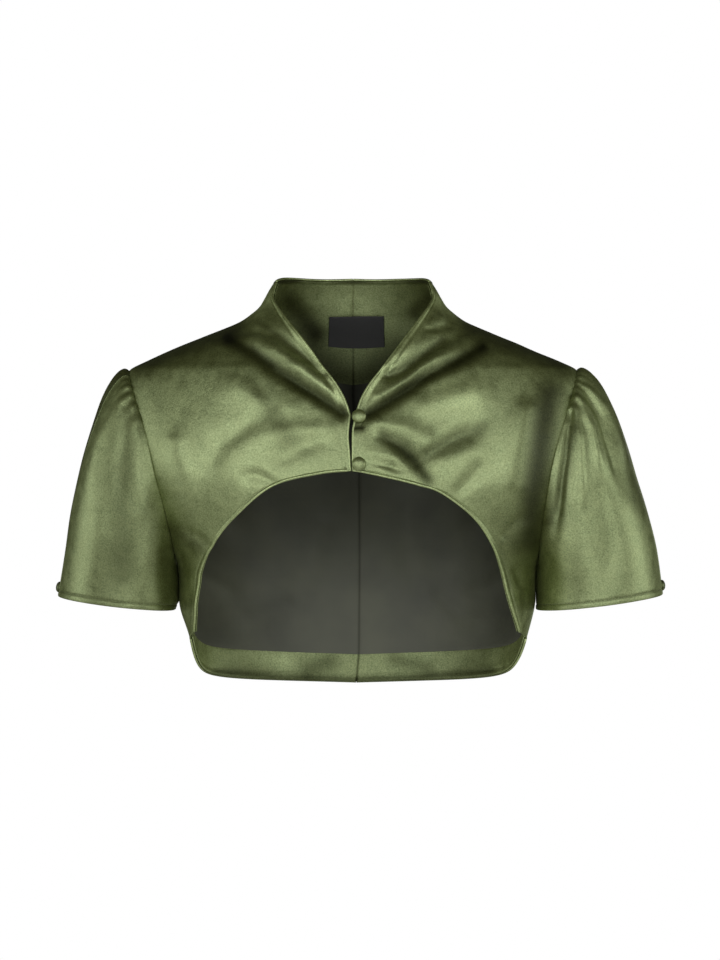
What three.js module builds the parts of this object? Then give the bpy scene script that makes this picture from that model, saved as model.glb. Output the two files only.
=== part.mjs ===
// A short bolero jacket, worn and hollow: two fronts and two backs cut in one with a stand collar, gathered
// short sleeves, self cloth facings, a back lining, a neck label and four covered buttons.
// Millimetres, +Z up, the front towards -Y. The origin lies midway between the two side neck points.
import * as THREE from "three";

// Cloth and seams
const CLOTH = 1.5; // wall of the main cloth
const THIN = 1.0; // wall of facing, lining and label
const SEAM = 0.3; // space left between two pieces
const FACING_DEPTH = CLOTH + SEAM; // how far inside the main cloth's outer face a facing starts
const LABEL_DEPTH = FACING_DEPTH + THIN + SEAM + 0.5; // the label hangs a little off the curved facing
const SQUARENESS = 2.15; // exponent of the body's oval, where 2 is an ellipse

// Heights that the pieces share
const COLLAR_TOP = 37;
const SHOULDER_Z = -38;
const UNDERARM_Z = -202;
const NECK_POINT_Z = -77; // where the V ends at the upper button
const FRONT_FOOT_Z = -122.5; // where the centre front meets the round edge
const SIDE_HEM_Z = -264;
const BACK_HEM_Z = -303;
const BACK_COLLAR_RISE = 4; // how much higher the collar stands at the centre back than at its sides

// Body: level, half width at the ridge of the shoulder and side, depth to the front and to the back, and how far
// the middle hangs towards the wearer's left. Between shoulder and underarm the half width lies out past the armhole.
const BODY_RINGS = [
  { z: 40, half: 63, front: 49, back: 55, drift: 0 },
  { z: 29, half: 71, front: 55, back: 60, drift: 0 },
  { z: 21, half: 77.5, front: 59, back: 64, drift: 0 },
  { z: 9, half: 88, front: 64, back: 70, drift: 0 },
  { z: 2.5, half: 97, front: 67, back: 74, drift: 0 },
  { z: -4, half: 111, front: 70, back: 78, drift: 0 },
  { z: -18, half: 144, front: 76, back: 85, drift: 0 },
  { z: -31, half: 175, front: 82, back: 92, drift: 0 },
  { z: -38, half: 188, front: 86, back: 95, drift: 0 },
  { z: -60, half: 199, front: 94, back: 101, drift: 0 },
  { z: -90, half: 203, front: 103, back: 105, drift: 0 },
  { z: -120, half: 197, front: 109, back: 106, drift: 0 },
  { z: -150, half: 182, front: 110, back: 104, drift: 1.2 },
  { z: -180, half: 163, front: 107, back: 100, drift: 2.4 },
  { z: -202, half: 151, front: 104, back: 97, drift: 3 },
  { z: -235, half: 147.5, front: 99, back: 93, drift: 3.2 },
  { z: -265, half: 141, front: 95, back: 90, drift: 3.4 },
  { z: -305, half: 134, front: 90, back: 86, drift: 3.6 },
];

// Armhole seam: its distance from the middle at each level
const ARMHOLE = [
  { z: -38, x: 188 },
  { z: -52, x: 184.5 },
  { z: -66, x: 180 },
  { z: -90, x: 172 },
  { z: -122, x: 164 },
  { z: -165, x: 155.5 },
  { z: -190, x: 152 },
  { z: -202, x: 151 },
];

// Front edge of each front, from the collar's corner down the V
const NECK_EDGE = [
  { x: 64.6, z: 35.5 },
  { x: 66.6, z: 29 },
  { x: 67, z: 21 },
  { x: 58.5, z: 8 },
  { x: 41, z: -15 },
  { x: 27, z: -34 },
  { x: 14.5, z: -50 },
  { x: 7, z: -63 },
  { x: 2.4, z: -77 },
];
const NECK_SPLIT_Z = -38; // level on the V beside the shoulder point

// Centre front, where the two edges stand apart between the buttons
const CENTRE_EDGE = [
  { z: -77, left: 2.4, right: 2.4 },
  { z: -92, left: -0.2, right: 4.1 },
  { z: -108, left: -0.8, right: 3 },
  { z: -122.5, left: -1.5, right: 1.9 },
];

// Round lower edge of each front
const ARCH = [
  { x: 1.8, z: -122.5 },
  { x: 28, z: -126 },
  { x: 66, z: -139.5 },
  { x: 94, z: -157.5 },
  { x: 114, z: -179 },
  { x: 125.5, z: -204 },
  { x: 132, z: -231 },
  { x: 137.5, z: -257 },
];

// Back hem: its level at each angle from the side seam (0) to the centre back (90)
const HEM = [
  { angle: 0, z: SIDE_HEM_Z },
  { angle: 9, z: -272 },
  { angle: 16, z: -285 },
  { angle: 23, z: -292.5 },
  { angle: 32, z: -296.5 },
  { angle: 60, z: -300.5 },
  { angle: 90, z: BACK_HEM_Z },
];

// Folds of the fronts: soft troughs (negative height) and ridges along straight stretches.
// side is 1 on the wearer's left front and -1 on the right one.
const FRONT_FOLDS = [
  { side: 1, x1: 25, z1: -45, x2: 78, z2: -9, width: 6, height: -3 },
  { side: 1, x1: 14, z1: -76, x2: 52, z2: -52, width: 6, height: -3.5 },
  { side: 1, x1: 52, z1: -52, x2: 80, z2: -40, width: 8, height: -4.5 },
  { side: 1, x1: 80, z1: -40, x2: 126, z2: -23, width: 9, height: -3.5 },
  { side: 1, x1: 42, z1: -36, x2: 92, z2: -22, width: 8, height: 2.5 },
  { side: 1, x1: 60, z1: -66, x2: 110, z2: -52, width: 12, height: 2.5 },
  { side: 1, x1: 24, z1: -90, x2: 66, z2: -124, width: 8, height: -2.5 },
  { side: 1, x1: 148, z1: -70, x2: 142, z2: -165, width: 10, height: -3 },
  { side: -1, x1: 28, z1: -59, x2: 62, z2: -50, width: 7, height: -3.5 },
  { side: -1, x1: 62, z1: -50, x2: 90, z2: -26, width: 8, height: -4.5 },
  { side: -1, x1: 90, z1: -26, x2: 106, z2: -6, width: 7, height: -3 },
  { side: -1, x1: 44, z1: -38, x2: 76, z2: -12, width: 8, height: 2.5 },
  { side: -1, x1: 50, z1: -72, x2: 110, z2: -54, width: 12, height: 2.5 },
  { side: -1, x1: 152, z1: -90, x2: 140, z2: -170, width: 10, height: -2.5 },
];
const BACK_FOLDS = [
  { side: 1, x1: 40, z1: -36, x2: 100, z2: -70, width: 14, height: -2.5 },
  { side: 1, x1: 122, z1: -80, x2: 96, z2: -200, width: 13, height: -3 },
  { side: 1, x1: 40, z1: -150, x2: 60, z2: -250, width: 16, height: 2 },
  { side: -1, x1: 50, z1: -30, x2: 112, z2: -62, width: 14, height: -2.5 },
  { side: -1, x1: 116, z1: -90, x2: 104, z2: -190, width: 12, height: -3 },
  { side: -1, x1: 30, z1: -170, x2: 66, z2: -255, width: 15, height: 2 },
];

// Sleeves: the path of the cloth leaves the armhole and comes down to the hem. Each row gives, for one place round
// the arm, how far it first runs out, towards front or back, and down, and how far above the hem it turns down.
const SLEEVE_PATH = [
  { angle: 0, out: 28, swell: 0, drop: -4, turnIn: 15, turnUp: 74 },
  { angle: 45, out: 25, swell: 8, drop: 8, turnIn: 9, turnUp: 76 },
  { angle: 90, out: 14, swell: 9, drop: 20, turnIn: 4, turnUp: 46 },
  { angle: 135, out: 6, swell: 4, drop: 16, turnIn: 2, turnUp: 24 },
  { angle: 180, out: 1, swell: 0, drop: 10, turnIn: 0.5, turnUp: 12 },
];
// Sleeve hems: distance of the outer and inner edge from the middle, their levels, how far the cloth above the inner
// edge hangs towards the body, and how far it bows out above the outer edge
const SLEEVE_HEMS = {
  left: { outer: 256.5, inner: 155.5, outerZ: -225.5, innerZ: -238.5, depth: 60, sag: 5.5, bow: 9 },
  right: { outer: 251.5, inner: 150.5, outerZ: -227, innerZ: -238.5, depth: 60, sag: 1.8, bow: 0 },
};
const HEM_SAG = 2.5; // how far the sleeve hem bows down between its outer and inner edge
const HEM_TUCK = 2.5; // how far the hem's inner corner turns back out
const GATHER_COUNT = 8; // gathers over the cap of each sleeve
const GATHER_SPREAD = 78; // degrees to each side of the top that the gathers reach
const GATHER_HEIGHT = 2.4;
const GATHER_LENGTH = 0.45; // share of the sleeve's length over which they fade
const OVERARM_AT_CAP = -22; // degrees from the top to the front
const OVERARM_AT_HEM = -9;
const SLIT_START = 0.74; // share of the sleeve's length where the overarm seam opens
const SLIT_GAP = 1.6;

// Buttons and label
const BUTTON_RADIUS = 5.9;
const BUTTON_HEIGHT = 4.6;
const SHANK_RADIUS = 1.6;
const SHANK_LENGTH = 1.2;
const FRONT_BUTTONS = [
  { name: "button_front_upper", x: 5, z: -78.5 },
  { name: "button_front_lower", x: 5, z: -117.5 },
];
const SLEEVE_BUTTON = { angle: -3, along: 0.962 };
const LABEL = { left: -20.5, right: 26, top: 10.5, bottom: -16.5, bow: 1.2 };
const FACING_WIDTH = 26;
const NECK_FACING_MIDDLE_Z = -48; // lower line of the neck facing at the centre back

// Counts of grid steps down the panels, along collar and shoulder, the V, the centre front, the round edge and the
// side, and across them. A facing shares the panel's own steps: the last ones of a front, the first or last of a back.
const STEPS = { collar: 9, neck: 3, centre: 2, arch: 9, side: 5, frontAcross: 17, backAcross: 11 };
const FACING_STEPS = { front: 3, neck: 5, hem: 2 };
const SIDE_SHARES = [0, 0.25, 0.5, 0.74, 0.87, 1]; // how the steps down the side are spread
const SLEEVE_STEPS = { along: 10, front: 19, back: 30 };
const SLEEVE_ROW_SPREAD = 1.35; // over 1 draws the rows towards the cap
const SLEEVE_COLUMN_SPREAD = { front: 1.3, back: 1.08 }; // the same round the arm, towards the gathers

const COLOURS = { cloth: 0x6b7550, lining: 0x43453a, label: 0x171813 };

const radians = THREE.MathUtils.degToRad;
const mix = THREE.MathUtils.lerp;

// Smooth value of one column of a table at a place, with flat ends outside it
function column(table, name, at, key = "z") {
  const rows = table[0][key] < table[table.length - 1][key] ? table : [...table].reverse();
  const last = rows.length - 1;
  if (at <= rows[0][key]) return rows[0][name];
  if (at >= rows[last][key]) return rows[last][name];
  const i = rows.findIndex((row) => row[key] > at) - 1;
  const slope = (a, b) => (rows[b][name] - rows[a][name]) / (rows[b][key] - rows[a][key]);
  const step = rows[i + 1][key] - rows[i][key];
  const s = (at - rows[i][key]) / step;
  const m0 = slope(Math.max(i - 1, 0), i + 1) * step;
  const m1 = slope(i, Math.min(i + 2, last)) * step;
  const p0 = rows[i][name];
  const p1 = rows[i + 1][name];
  return p0 + m0 * s + (3 * (p1 - p0) - 2 * m0 - m1) * s * s + (2 * (p0 - p1) + m0 + m1) * s ** 3;
}

const power = (v, e) => Math.sign(v) * Math.abs(v) ** e;

// Point of the body's smooth form on the wearer's left half, at an angle from the side (0) to the middle (90).
// face is -1 on the front and 1 on the back.
function bodyPoint(angle, z, face) {
  const half = column(BODY_RINGS, "half", z);
  const depth = column(BODY_RINGS, face * Math.sign(angle || 1) < 0 ? "front" : "back", z);
  const x = half * power(Math.cos(angle), 2 / SQUARENESS);
  const y = depth * power(Math.sin(angle), 2 / SQUARENESS) * face;
  return new THREE.Vector3(x, y, z);
}

function bodyNormal(angle, z, face) {
  const h = 0.02;
  const round = bodyPoint(angle + h, z, face).sub(bodyPoint(angle - h, z, face));
  const up = bodyPoint(angle, z + 1, face).sub(bodyPoint(angle, z - 1, face));
  return round.cross(up).multiplyScalar(face).normalize();
}

// Angle at which the body's form is a given distance from the middle, or from the ridge of side and shoulder
function angleAtX(x, z) {
  const share = Math.min(1, Math.max(0, x / column(BODY_RINGS, "half", z)));
  return Math.acos(share ** (SQUARENESS / 2));
}
function angleAtY(y, z, face) {
  const depth = column(BODY_RINGS, face < 0 ? "front" : "back", z);
  return Math.asin((y / depth) ** (SQUARENESS / 2));
}

function foldHeight(folds, side, x, z) {
  let sum = 0;
  for (const fold of folds) {
    if (fold.side !== side) continue;
    const dx = fold.x2 - fold.x1;
    const dz = fold.z2 - fold.z1;
    const along = THREE.MathUtils.clamp(((x - fold.x1) * dx + (z - fold.z1) * dz) / (dx * dx + dz * dz), 0, 1);
    const away = Math.hypot(x - fold.x1 - along * dx, z - fold.z1 - along * dz);
    sum += fold.height * Math.exp(-((away / fold.width) ** 2));
  }
  return sum;
}

// Point of the draped cloth, a given depth inside its outer face, placed on its own side of the jacket
function clothPoint(side, face, angle, z, depth) {
  const p = bodyPoint(angle, z, face);
  const fold = foldHeight(face < 0 ? FRONT_FOLDS : BACK_FOLDS, side, p.x, z);
  p.addScaledVector(bodyNormal(angle, z, face), fold * Math.min(1, Math.sin(angle) * 3) - depth);
  return placed(side, p);
}
function placed(side, p) {
  return new THREE.Vector3(side * p.x + column(BODY_RINGS, "drift", p.z), p.y, p.z);
}

// One closed wall between two grids of points. at(i, j, depth) gives a point, depth 0 outside and 1 inside.
function wall(rows, columns, at) {
  const points = [];
  const index = [];
  const id = (i, j, k) => (k * (rows + 1) + i) * (columns + 1) + j;
  for (let k = 0; k < 2; k++)
    for (let i = 0; i <= rows; i++)
      for (let j = 0; j <= columns; j++) points.push(...at(i, j, k).toArray());
  const quad = (a, b, c, d) => index.push(a, b, c, a, c, d);
  for (let i = 0; i < rows; i++)
    for (let j = 0; j < columns; j++) {
      quad(id(i, j, 0), id(i + 1, j, 0), id(i + 1, j + 1, 0), id(i, j + 1, 0));
      quad(id(i, j, 1), id(i, j + 1, 1), id(i + 1, j + 1, 1), id(i + 1, j, 1));
    }
  for (let i = 0; i < rows; i++) {
    quad(id(i, 0, 0), id(i, 0, 1), id(i + 1, 0, 1), id(i + 1, 0, 0));
    quad(id(i, columns, 0), id(i + 1, columns, 0), id(i + 1, columns, 1), id(i, columns, 1));
  }
  for (let j = 0; j < columns; j++) {
    quad(id(0, j, 0), id(0, j + 1, 0), id(0, j + 1, 1), id(0, j, 1));
    quad(id(rows, j, 0), id(rows, j, 1), id(rows, j + 1, 1), id(rows, j + 1, 0));
  }
  return closedGeometry(points, index);
}

// Geometry from points and triangles, turned so that its faces point out
function closedGeometry(points, index) {
  const at = (i) => new THREE.Vector3().fromArray(points, 3 * i);
  let volume = 0;
  for (let i = 0; i < index.length; i += 3) volume += at(index[i]).dot(at(index[i + 1]).cross(at(index[i + 2])));
  if (volume < 0) for (let i = 0; i < index.length; i += 3) [index[i], index[i + 1]] = [index[i + 1], index[i]];
  const geometry = new THREE.BufferGeometry();
  geometry.setAttribute("position", new THREE.Float32BufferAttribute(points, 3));
  geometry.setIndex(index);
  geometry.computeVertexNormals();
  return geometry;
}

const jacket = new THREE.Group();

function add(name, geometry, colour, roughness = 0.6) {
  const material = new THREE.MeshStandardMaterial({ color: colour, roughness, metalness: 0 });
  const mesh = new THREE.Mesh(geometry, material);
  mesh.name = name;
  jacket.add(mesh);
  return mesh;
}

// Level on the armhole at a share of its height, with the steps closest at its two ends
const armholeLevel = (share) => mix(SHOULDER_Z, UNDERARM_Z, (1 - Math.cos(Math.PI * share)) / 2);

// Outer edge of a panel: up the side seam, round the armhole and along the shoulder to the collar's top
function outerEdge(row, face) {
  const { collar } = STEPS;
  const armSteps = STEPS.neck + STEPS.centre + STEPS.arch;
  if (row <= collar) return seamPlace(mix(COLLAR_TOP, SHOULDER_Z, row / collar), face);
  if (row >= collar + armSteps) return seamPlace(mix(UNDERARM_Z, SIDE_HEM_Z, sideShare(row - collar - armSteps)), face);
  const z = armholeLevel((row - collar) / armSteps);
  return { angle: Math.max(angleAtX(column(ARMHOLE, "x", z), z), seamPlace(z, face).angle), z };
}
function sideShare(step) {
  const i = Math.min(Math.floor(step), STEPS.side - 1);
  return mix(SIDE_SHARES[i], SIDE_SHARES[i + 1], step - i);
}
const seamPlace = (z, face) => ({ angle: angleAtY(SEAM / 2, z, face), z });

// Smooth curve through the points of an edge table
const edgeCurve = (table) => new THREE.SplineCurve(table.map((row) => new THREE.Vector2(row.x, row.z)));
const neckCurve = edgeCurve(NECK_EDGE);
const archCurve = edgeCurve(ARCH);
const splitShare = shareAtLevel(neckCurve, NECK_SPLIT_Z);
const archSplit = shareAtLevel(archCurve, UNDERARM_Z - 2);

// Share of a falling curve's length at which it reaches a level
function shareAtLevel(curve, level) {
  let low = 0;
  let high = 1;
  for (let i = 0; i < 30; i++) {
    const middle = (low + high) / 2;
    if (curve.getPointAt(middle).y > level) low = middle;
    else high = middle;
  }
  return low;
}

// Inner edge of a front: down the V, the centre front and the round lower edge
function frontEdge(row, side) {
  const { collar, neck, centre, arch, side: sideSteps } = STEPS;
  const onCurve = (curve, share) => {
    const p = curve.getPointAt(share);
    return { angle: angleAtX(p.x, p.y), z: p.y };
  };
  if (row <= collar) return onCurve(neckCurve, mix(0, splitShare, row / collar));
  row -= collar;
  if (row < neck) return onCurve(neckCurve, mix(splitShare, 1, row / neck));
  row -= neck;
  if (row < centre) return centrePlace(mix(NECK_POINT_Z, FRONT_FOOT_Z, row / centre), side);
  row -= centre;
  if (row === 0) return centrePlace(FRONT_FOOT_Z, side);
  if (row <= arch) return onCurve(archCurve, mix(0, archSplit, row / arch));
  return onCurve(archCurve, mix(archSplit, 1, (row - arch) / sideSteps));
}
function centrePlace(z, side) {
  return { angle: angleAtX(column(CENTRE_EDGE, side > 0 ? "left" : "right", z), z), z };
}

// Place on a front at a step down and a step across. The last steps across are as wide as the facing.
function frontPlace(row, step, side) {
  const outer = outerEdge(row, -1);
  const inner = frontEdge(row, side);
  const wide = STEPS.frontAcross - FACING_STEPS.front;
  const share = Math.max(0.3, 1 - FACING_WIDTH / rowLength(outer, inner));
  const across = step <= wide ? (share * step) / wide : mix(share, 1, (step - wide) / FACING_STEPS.front);
  return { angle: mix(outer.angle, inner.angle, across), z: mix(outer.z, inner.z, across) };
}
function rowLength(outer, inner) {
  const steps = 6;
  let length = 0;
  let last = bodyPoint(outer.angle, outer.z, -1);
  for (let j = 1; j <= steps; j++) {
    const next = bodyPoint(mix(outer.angle, inner.angle, j / steps), mix(outer.z, inner.z, j / steps), -1);
    length += next.distanceTo(last);
    last = next;
  }
  return length;
}
const frontRows = STEPS.collar + STEPS.neck + STEPS.centre + STEPS.arch + STEPS.side;

function front(side) {
  return wall(frontRows, STEPS.frontAcross, (i, j, k) => {
    const { angle, z } = frontPlace(i, j, side);
    return clothPoint(side, -1, angle, z, k * CLOTH);
  });
}

// Facing of a front: a band of even width along its inner edge
function frontFacing(side) {
  const first = STEPS.frontAcross - FACING_STEPS.front;
  return wall(frontRows, FACING_STEPS.front, (i, j, k) => {
    const { angle, z } = frontPlace(i, first + j, side);
    return clothPoint(side, -1, angle, z, FACING_DEPTH + k * THIN);
  });
}

const hemLevel = (angle) => column(HEM, "z", THREE.MathUtils.radToDeg(angle), "angle");
const middleAngle = (z) => angleAtX(SEAM / 2, z);

// Place on a back at a step down and a step across. The last rows turn to the hem's own line.
function backPlace(row, step) {
  const straight = frontRows - STEPS.side;
  const across = step / STEPS.backAcross;
  const upper = Math.min(row, straight);
  const outer = outerEdge(upper, 1);
  const neck = FACING_STEPS.neck;
  const middleZ =
    upper <= neck
      ? mix(COLLAR_TOP + BACK_COLLAR_RISE, NECK_FACING_MIDDLE_Z, upper / neck)
      : mix(NECK_FACING_MIDDLE_Z, UNDERARM_Z - 12, (upper - neck) / (straight - neck));
  const angle = mix(outer.angle, middleAngle(middleZ), across);
  const z = mix(outer.z, middleZ, across);
  return { angle, z: row <= straight ? z : mix(z, hemLevel(angle), sideShare(row - straight)) };
}

// A wall on a back from one of its rows to another, a given depth inside its outer face
function backWall(side, firstRow, lastRow, depth, thickness) {
  const rows = Math.round(lastRow - firstRow);
  return wall(rows, STEPS.backAcross, (i, j, k) => {
    const { angle, z } = backPlace(mix(firstRow, lastRow, i / rows), j);
    return clothPoint(side, 1, angle, z, depth + k * thickness);
  });
}

function label() {
  const across = 8;
  const rows = 3;
  return wall(rows, across, (i, j, k) => {
    const share = j / across;
    const x = mix(LABEL.left, LABEL.right, share);
    const bow = LABEL.bow * Math.sin(Math.PI * share);
    const z = mix(LABEL.top, LABEL.bottom - bow, i / rows);
    return clothPoint(x < 0 ? -1 : 1, 1, angleAtX(Math.abs(x), z), z, LABEL_DEPTH + k * THIN * 0.7);
  });
}

// Armhole point on the wearer's left half. The angle runs from the shoulder (0) to the underarm (180), negative on
// the front and positive on the back.
function armholePoint(angle) {
  const share = Math.abs(angle) / 180;
  const z = armholeLevel(share);
  const face = angle < 0 ? -1 : 1;
  return bodyPoint(angleAtX(column(ARMHOLE, "x", z), z), z, face);
}

// Where the sleeve's cloth starts: just past the panel's edge, and standing clear of the body under the arm
function sleeveStart(angle) {
  const p = armholePoint(angle);
  const round = armholePoint(Math.min(angle + 3, 180)).sub(armholePoint(Math.max(angle - 3, -180)));
  const z = p.z;
  const normal = bodyNormal(Math.max(0.02, angleAtX(column(ARMHOLE, "x", z), z)), z, angle < 0 ? -1 : 1);
  const past = round.clone().cross(normal).normalize();
  const low = ((1 - Math.cos(radians(angle))) / 2) ** 2;
  return p.addScaledVector(past, SEAM + mix(1.3, 0.2, low)).addScaledVector(normal, mix(1, 1.6, low));
}

// Point of the sleeve's smooth form: along runs from the armhole (0) to the hem (1)
function sleevePoint(hem, angle, along) {
  const turn = Math.abs(angle);
  const face = Math.sign(angle) || 1;
  const value = (name) => column(SLEEVE_PATH, name, turn, "angle");
  const start = sleeveStart(angle);
  const inward = (1 - Math.cos(radians(angle))) / 2;
  const end = new THREE.Vector3(
    mix(hem.outer, hem.inner, inward),
    hem.depth * Math.sin(radians(angle)),
    mix(hem.outerZ, hem.innerZ, inward) - HEM_SAG * Math.sin(radians(turn)),
  );
  const leave = start.clone().add(new THREE.Vector3(value("out"), face * value("swell"), -value("drop")));
  const arrive = end.clone().add(new THREE.Vector3(hem.bow * (1 - inward) - value("turnIn"), 0, value("turnUp")));
  return new THREE.CubicBezierCurve3(start, leave, arrive, end).getPoint(along);
}

// Point of the gathered sleeve, a given depth inside its outer face
function sleeveCloth(side, angle, along, depth) {
  const hem = side > 0 ? SLEEVE_HEMS.left : SLEEVE_HEMS.right;
  const h = 1.5;
  const low = Math.max(0, along - 0.02);
  const high = Math.min(1, along + 0.02);
  const round = sleevePoint(hem, angle + h, along).sub(sleevePoint(hem, angle - h, along));
  const down = sleevePoint(hem, angle, high).sub(sleevePoint(hem, angle, low));
  const normal = down.cross(round).normalize();
  const height = gather(angle, along) + underarmSag(hem, angle, along);
  const p = sleevePoint(hem, angle, along).addScaledVector(normal, height - depth);
  return placed(side, p);
}
function gather(angle, along) {
  const reach = Math.max(0, 1 - (Math.abs(angle) / GATHER_SPREAD) ** 2);
  const rise = Math.min(1, along / 0.06);
  const fade = Math.max(0, 1 - along / GATHER_LENGTH) ** 1.5;
  const wave = Math.cos((angle / GATHER_SPREAD) * Math.PI * GATHER_COUNT);
  return GATHER_HEIGHT * reach * rise * fade * wave;
}
function underarmSag(hem, angle, along) {
  const inside = Math.exp(-(((180 - Math.abs(angle)) / 34) ** 2));
  const sag = hem.sag * Math.exp(-(((along - 0.68) / 0.28) ** 2));
  const tuck = HEM_TUCK * Math.exp(-(((along - 1) / 0.12) ** 2));
  return inside * (sag - tuck) * Math.min(1, along / 0.2);
}

// Half a sleeve, from the overarm seam round the front or the back to the underarm seam
function sleeveHalf(side, face) {
  const half = face < 0 ? "front" : "back";
  const across = SLEEVE_STEPS[half];
  return wall(SLEEVE_STEPS.along, across, (i, j, k) => {
    const along = (i / SLEEVE_STEPS.along) ** SLEEVE_ROW_SPREAD;
    const open = along > SLIT_START ? SLIT_GAP * Math.min(1, (along - SLIT_START) / 0.1) : 0;
    const seam = mix(OVERARM_AT_CAP, OVERARM_AT_HEM, along) + face * (0.25 + open / 2);
    const angle = mix(seam, face * 179.7, (j / across) ** SLEEVE_COLUMN_SPREAD[half]);
    return sleeveCloth(side, angle, along, k * CLOTH);
  });
}

// Covered button: a domed disc on a short shank
function buttonGeometry() {
  const profile = [new THREE.Vector2(0, -SHANK_LENGTH), new THREE.Vector2(SHANK_RADIUS, -SHANK_LENGTH)];
  profile.push(new THREE.Vector2(SHANK_RADIUS, 0));
  profile.push(new THREE.Vector2(BUTTON_RADIUS * 0.9, 0));
  const rise = 5;
  for (let i = 0; i <= rise; i++) {
    const turn = (Math.PI / 2) * (i / rise);
    profile.push(new THREE.Vector2(BUTTON_RADIUS * Math.cos(turn), 0.8 + (BUTTON_HEIGHT - 0.8) * Math.sin(turn)));
  }
  profile[profile.length - 1].x = 0;
  return new THREE.LatheGeometry(profile, 20);
}

// The lathe turns about Y, so its axis is laid along the cloth's normal
function button(name, outer, inner, lift) {
  const normal = outer.clone().sub(inner).normalize();
  const mesh = add(name, buttonGeometry(), COLOURS.cloth);
  mesh.quaternion.setFromUnitVectors(new THREE.Vector3(0, 1, 0), normal);
  mesh.position.copy(outer).addScaledVector(normal, SHANK_LENGTH + lift);
}

const neckEnd = FACING_STEPS.neck;
const hemStart = frontRows - FACING_STEPS.hem;
const apart = 0.04; // share of a row that leaves a seam's space between two pieces
for (const side of [1, -1]) {
  const hand = side > 0 ? "left" : "right";
  add(`front_${hand}`, front(side), COLOURS.cloth);
  add(`back_${hand}`, backWall(side, 0, frontRows, 0, CLOTH), COLOURS.cloth);
  add(`facing_front_${hand}`, frontFacing(side), COLOURS.cloth);
  add(`facing_neck_${hand}`, backWall(side, 0, neckEnd - apart, FACING_DEPTH, THIN), COLOURS.cloth);
  add(`facing_hem_${hand}`, backWall(side, hemStart + apart, frontRows, FACING_DEPTH, THIN), COLOURS.cloth);
  add(`lining_${hand}`, backWall(side, neckEnd, hemStart, FACING_DEPTH, THIN), COLOURS.lining, 0.7);
  add(`sleeve_${hand}_front`, sleeveHalf(side, -1), COLOURS.cloth);
  add(`sleeve_${hand}_back`, sleeveHalf(side, 1), COLOURS.cloth);

  const { angle, along } = SLEEVE_BUTTON;
  const outer = sleeveCloth(side, angle, along, 0);
  button(`button_sleeve_${hand}`, outer, sleeveCloth(side, angle, along, 1), SEAM + 0.4);
}
for (const { name, x, z } of FRONT_BUTTONS) {
  const angle = angleAtX(x, z);
  button(name, clothPoint(1, -1, angle, z, 0), clothPoint(1, -1, angle, z, 1), SEAM);
}
add("label", label(), COLOURS.label, 0.8);

export default jacket;
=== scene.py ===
# A short bolero jacket in satin velvet, worn and hollow, with the front towards -Y. The sections follow the
# jacket as it is put together. Sizes in the tables are millimetres, and meshes are metres.
import math

import bpy
import numpy as np
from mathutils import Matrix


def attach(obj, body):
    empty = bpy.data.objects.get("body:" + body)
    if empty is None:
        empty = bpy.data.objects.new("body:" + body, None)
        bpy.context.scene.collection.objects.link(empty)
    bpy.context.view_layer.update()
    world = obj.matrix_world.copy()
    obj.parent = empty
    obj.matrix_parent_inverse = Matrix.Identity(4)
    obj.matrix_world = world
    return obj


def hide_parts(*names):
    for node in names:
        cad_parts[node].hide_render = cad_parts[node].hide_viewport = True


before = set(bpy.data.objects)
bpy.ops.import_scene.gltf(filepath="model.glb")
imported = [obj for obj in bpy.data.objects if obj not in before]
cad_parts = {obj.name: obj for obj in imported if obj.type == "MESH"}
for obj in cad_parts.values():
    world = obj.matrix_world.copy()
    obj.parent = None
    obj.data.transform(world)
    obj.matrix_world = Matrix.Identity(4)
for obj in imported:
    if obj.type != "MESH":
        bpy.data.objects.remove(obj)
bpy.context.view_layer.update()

# The two fronts
# Each front is cut in one with its half of the stand collar, from the collar's top down the V and the round
# edge to the side seam. The cloth is a satin backed velvet, faced along its edges, which hangs in soft drag
# folds from the upper button to the shoulder.
MM = 0.001
VELVET_THICKNESS = 1.4
SEAM = 0.3
SQUARENESS = 2.15
COLLAR_TOP = 37
SHOULDER_Z = -38
UNDERARM_Z = -202
NECK_POINT_Z = -77
FRONT_FOOT_Z = -122.5
SIDE_HEM_Z = -264
LEFT, RIGHT = 1, -1
HANDS = {LEFT: "left", RIGHT: "right"}
FRONT, BACK = -1, 1


def table(names, *rows):
    """A table with named columns, as arrays in the order of the first one."""
    return dict(zip(names.split(), np.array(sorted(rows), float).T))


def each_row(names, *rows):
    """A table with named columns, as a dictionary for each row."""
    return [dict(zip(names.split(), row)) for row in rows]


BODY_RINGS = table(
    "z half front back drift",
    (41, 59, 46, 52, 0),
    (37, 65, 50, 56, 0),
    (30, 70, 55, 60, 0),
    (22, 74.5, 58.5, 63.5, 0),
    (15, 79, 61.5, 67, 0),
    (9, 86, 64, 70, 0),
    (3, 94.5, 67, 74, 0),
    (-4, 109, 70, 78, 0),
    (-18, 144, 76, 85, 0),
    (-31, 175, 82, 92, 0),
    (-38, 188, 86, 95, 0),
    (-60, 199, 94, 101, 0),
    (-90, 203, 103, 105, 0),
    (-120, 197, 109, 106, 0),
    (-150, 182, 110, 104, 1.2),
    (-180, 163, 107, 100, 2.4),
    (-202, 151, 104, 97, 3),
    (-235, 149.2, 99, 93, 3.9),
    (-265, 141.2, 95, 90, 4.8),
    (-305, 134, 90, 86, 1.6),
)
ARMHOLE = table(
    "z x",
    *[(-38, 188), (-52, 184.5), (-66, 180), (-90, 172)],
    *[(-122, 164), (-165, 155.5), (-190, 152), (-202, 151)],
)
NECK_EDGE = [
    *[(64.6, 35.5), (66.6, 29), (67, 21), (58.5, 8), (41, -15)],
    *[(27, -34), (14.5, -50), (7, -63), (2.4, -77)],
]
CENTRE_EDGE = table("z left right", (-77, 2.4, 2.4), (-92, -0.2, 4.1), (-108, -0.8, 3), (-122.5, -1.5, 1.9))
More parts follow.
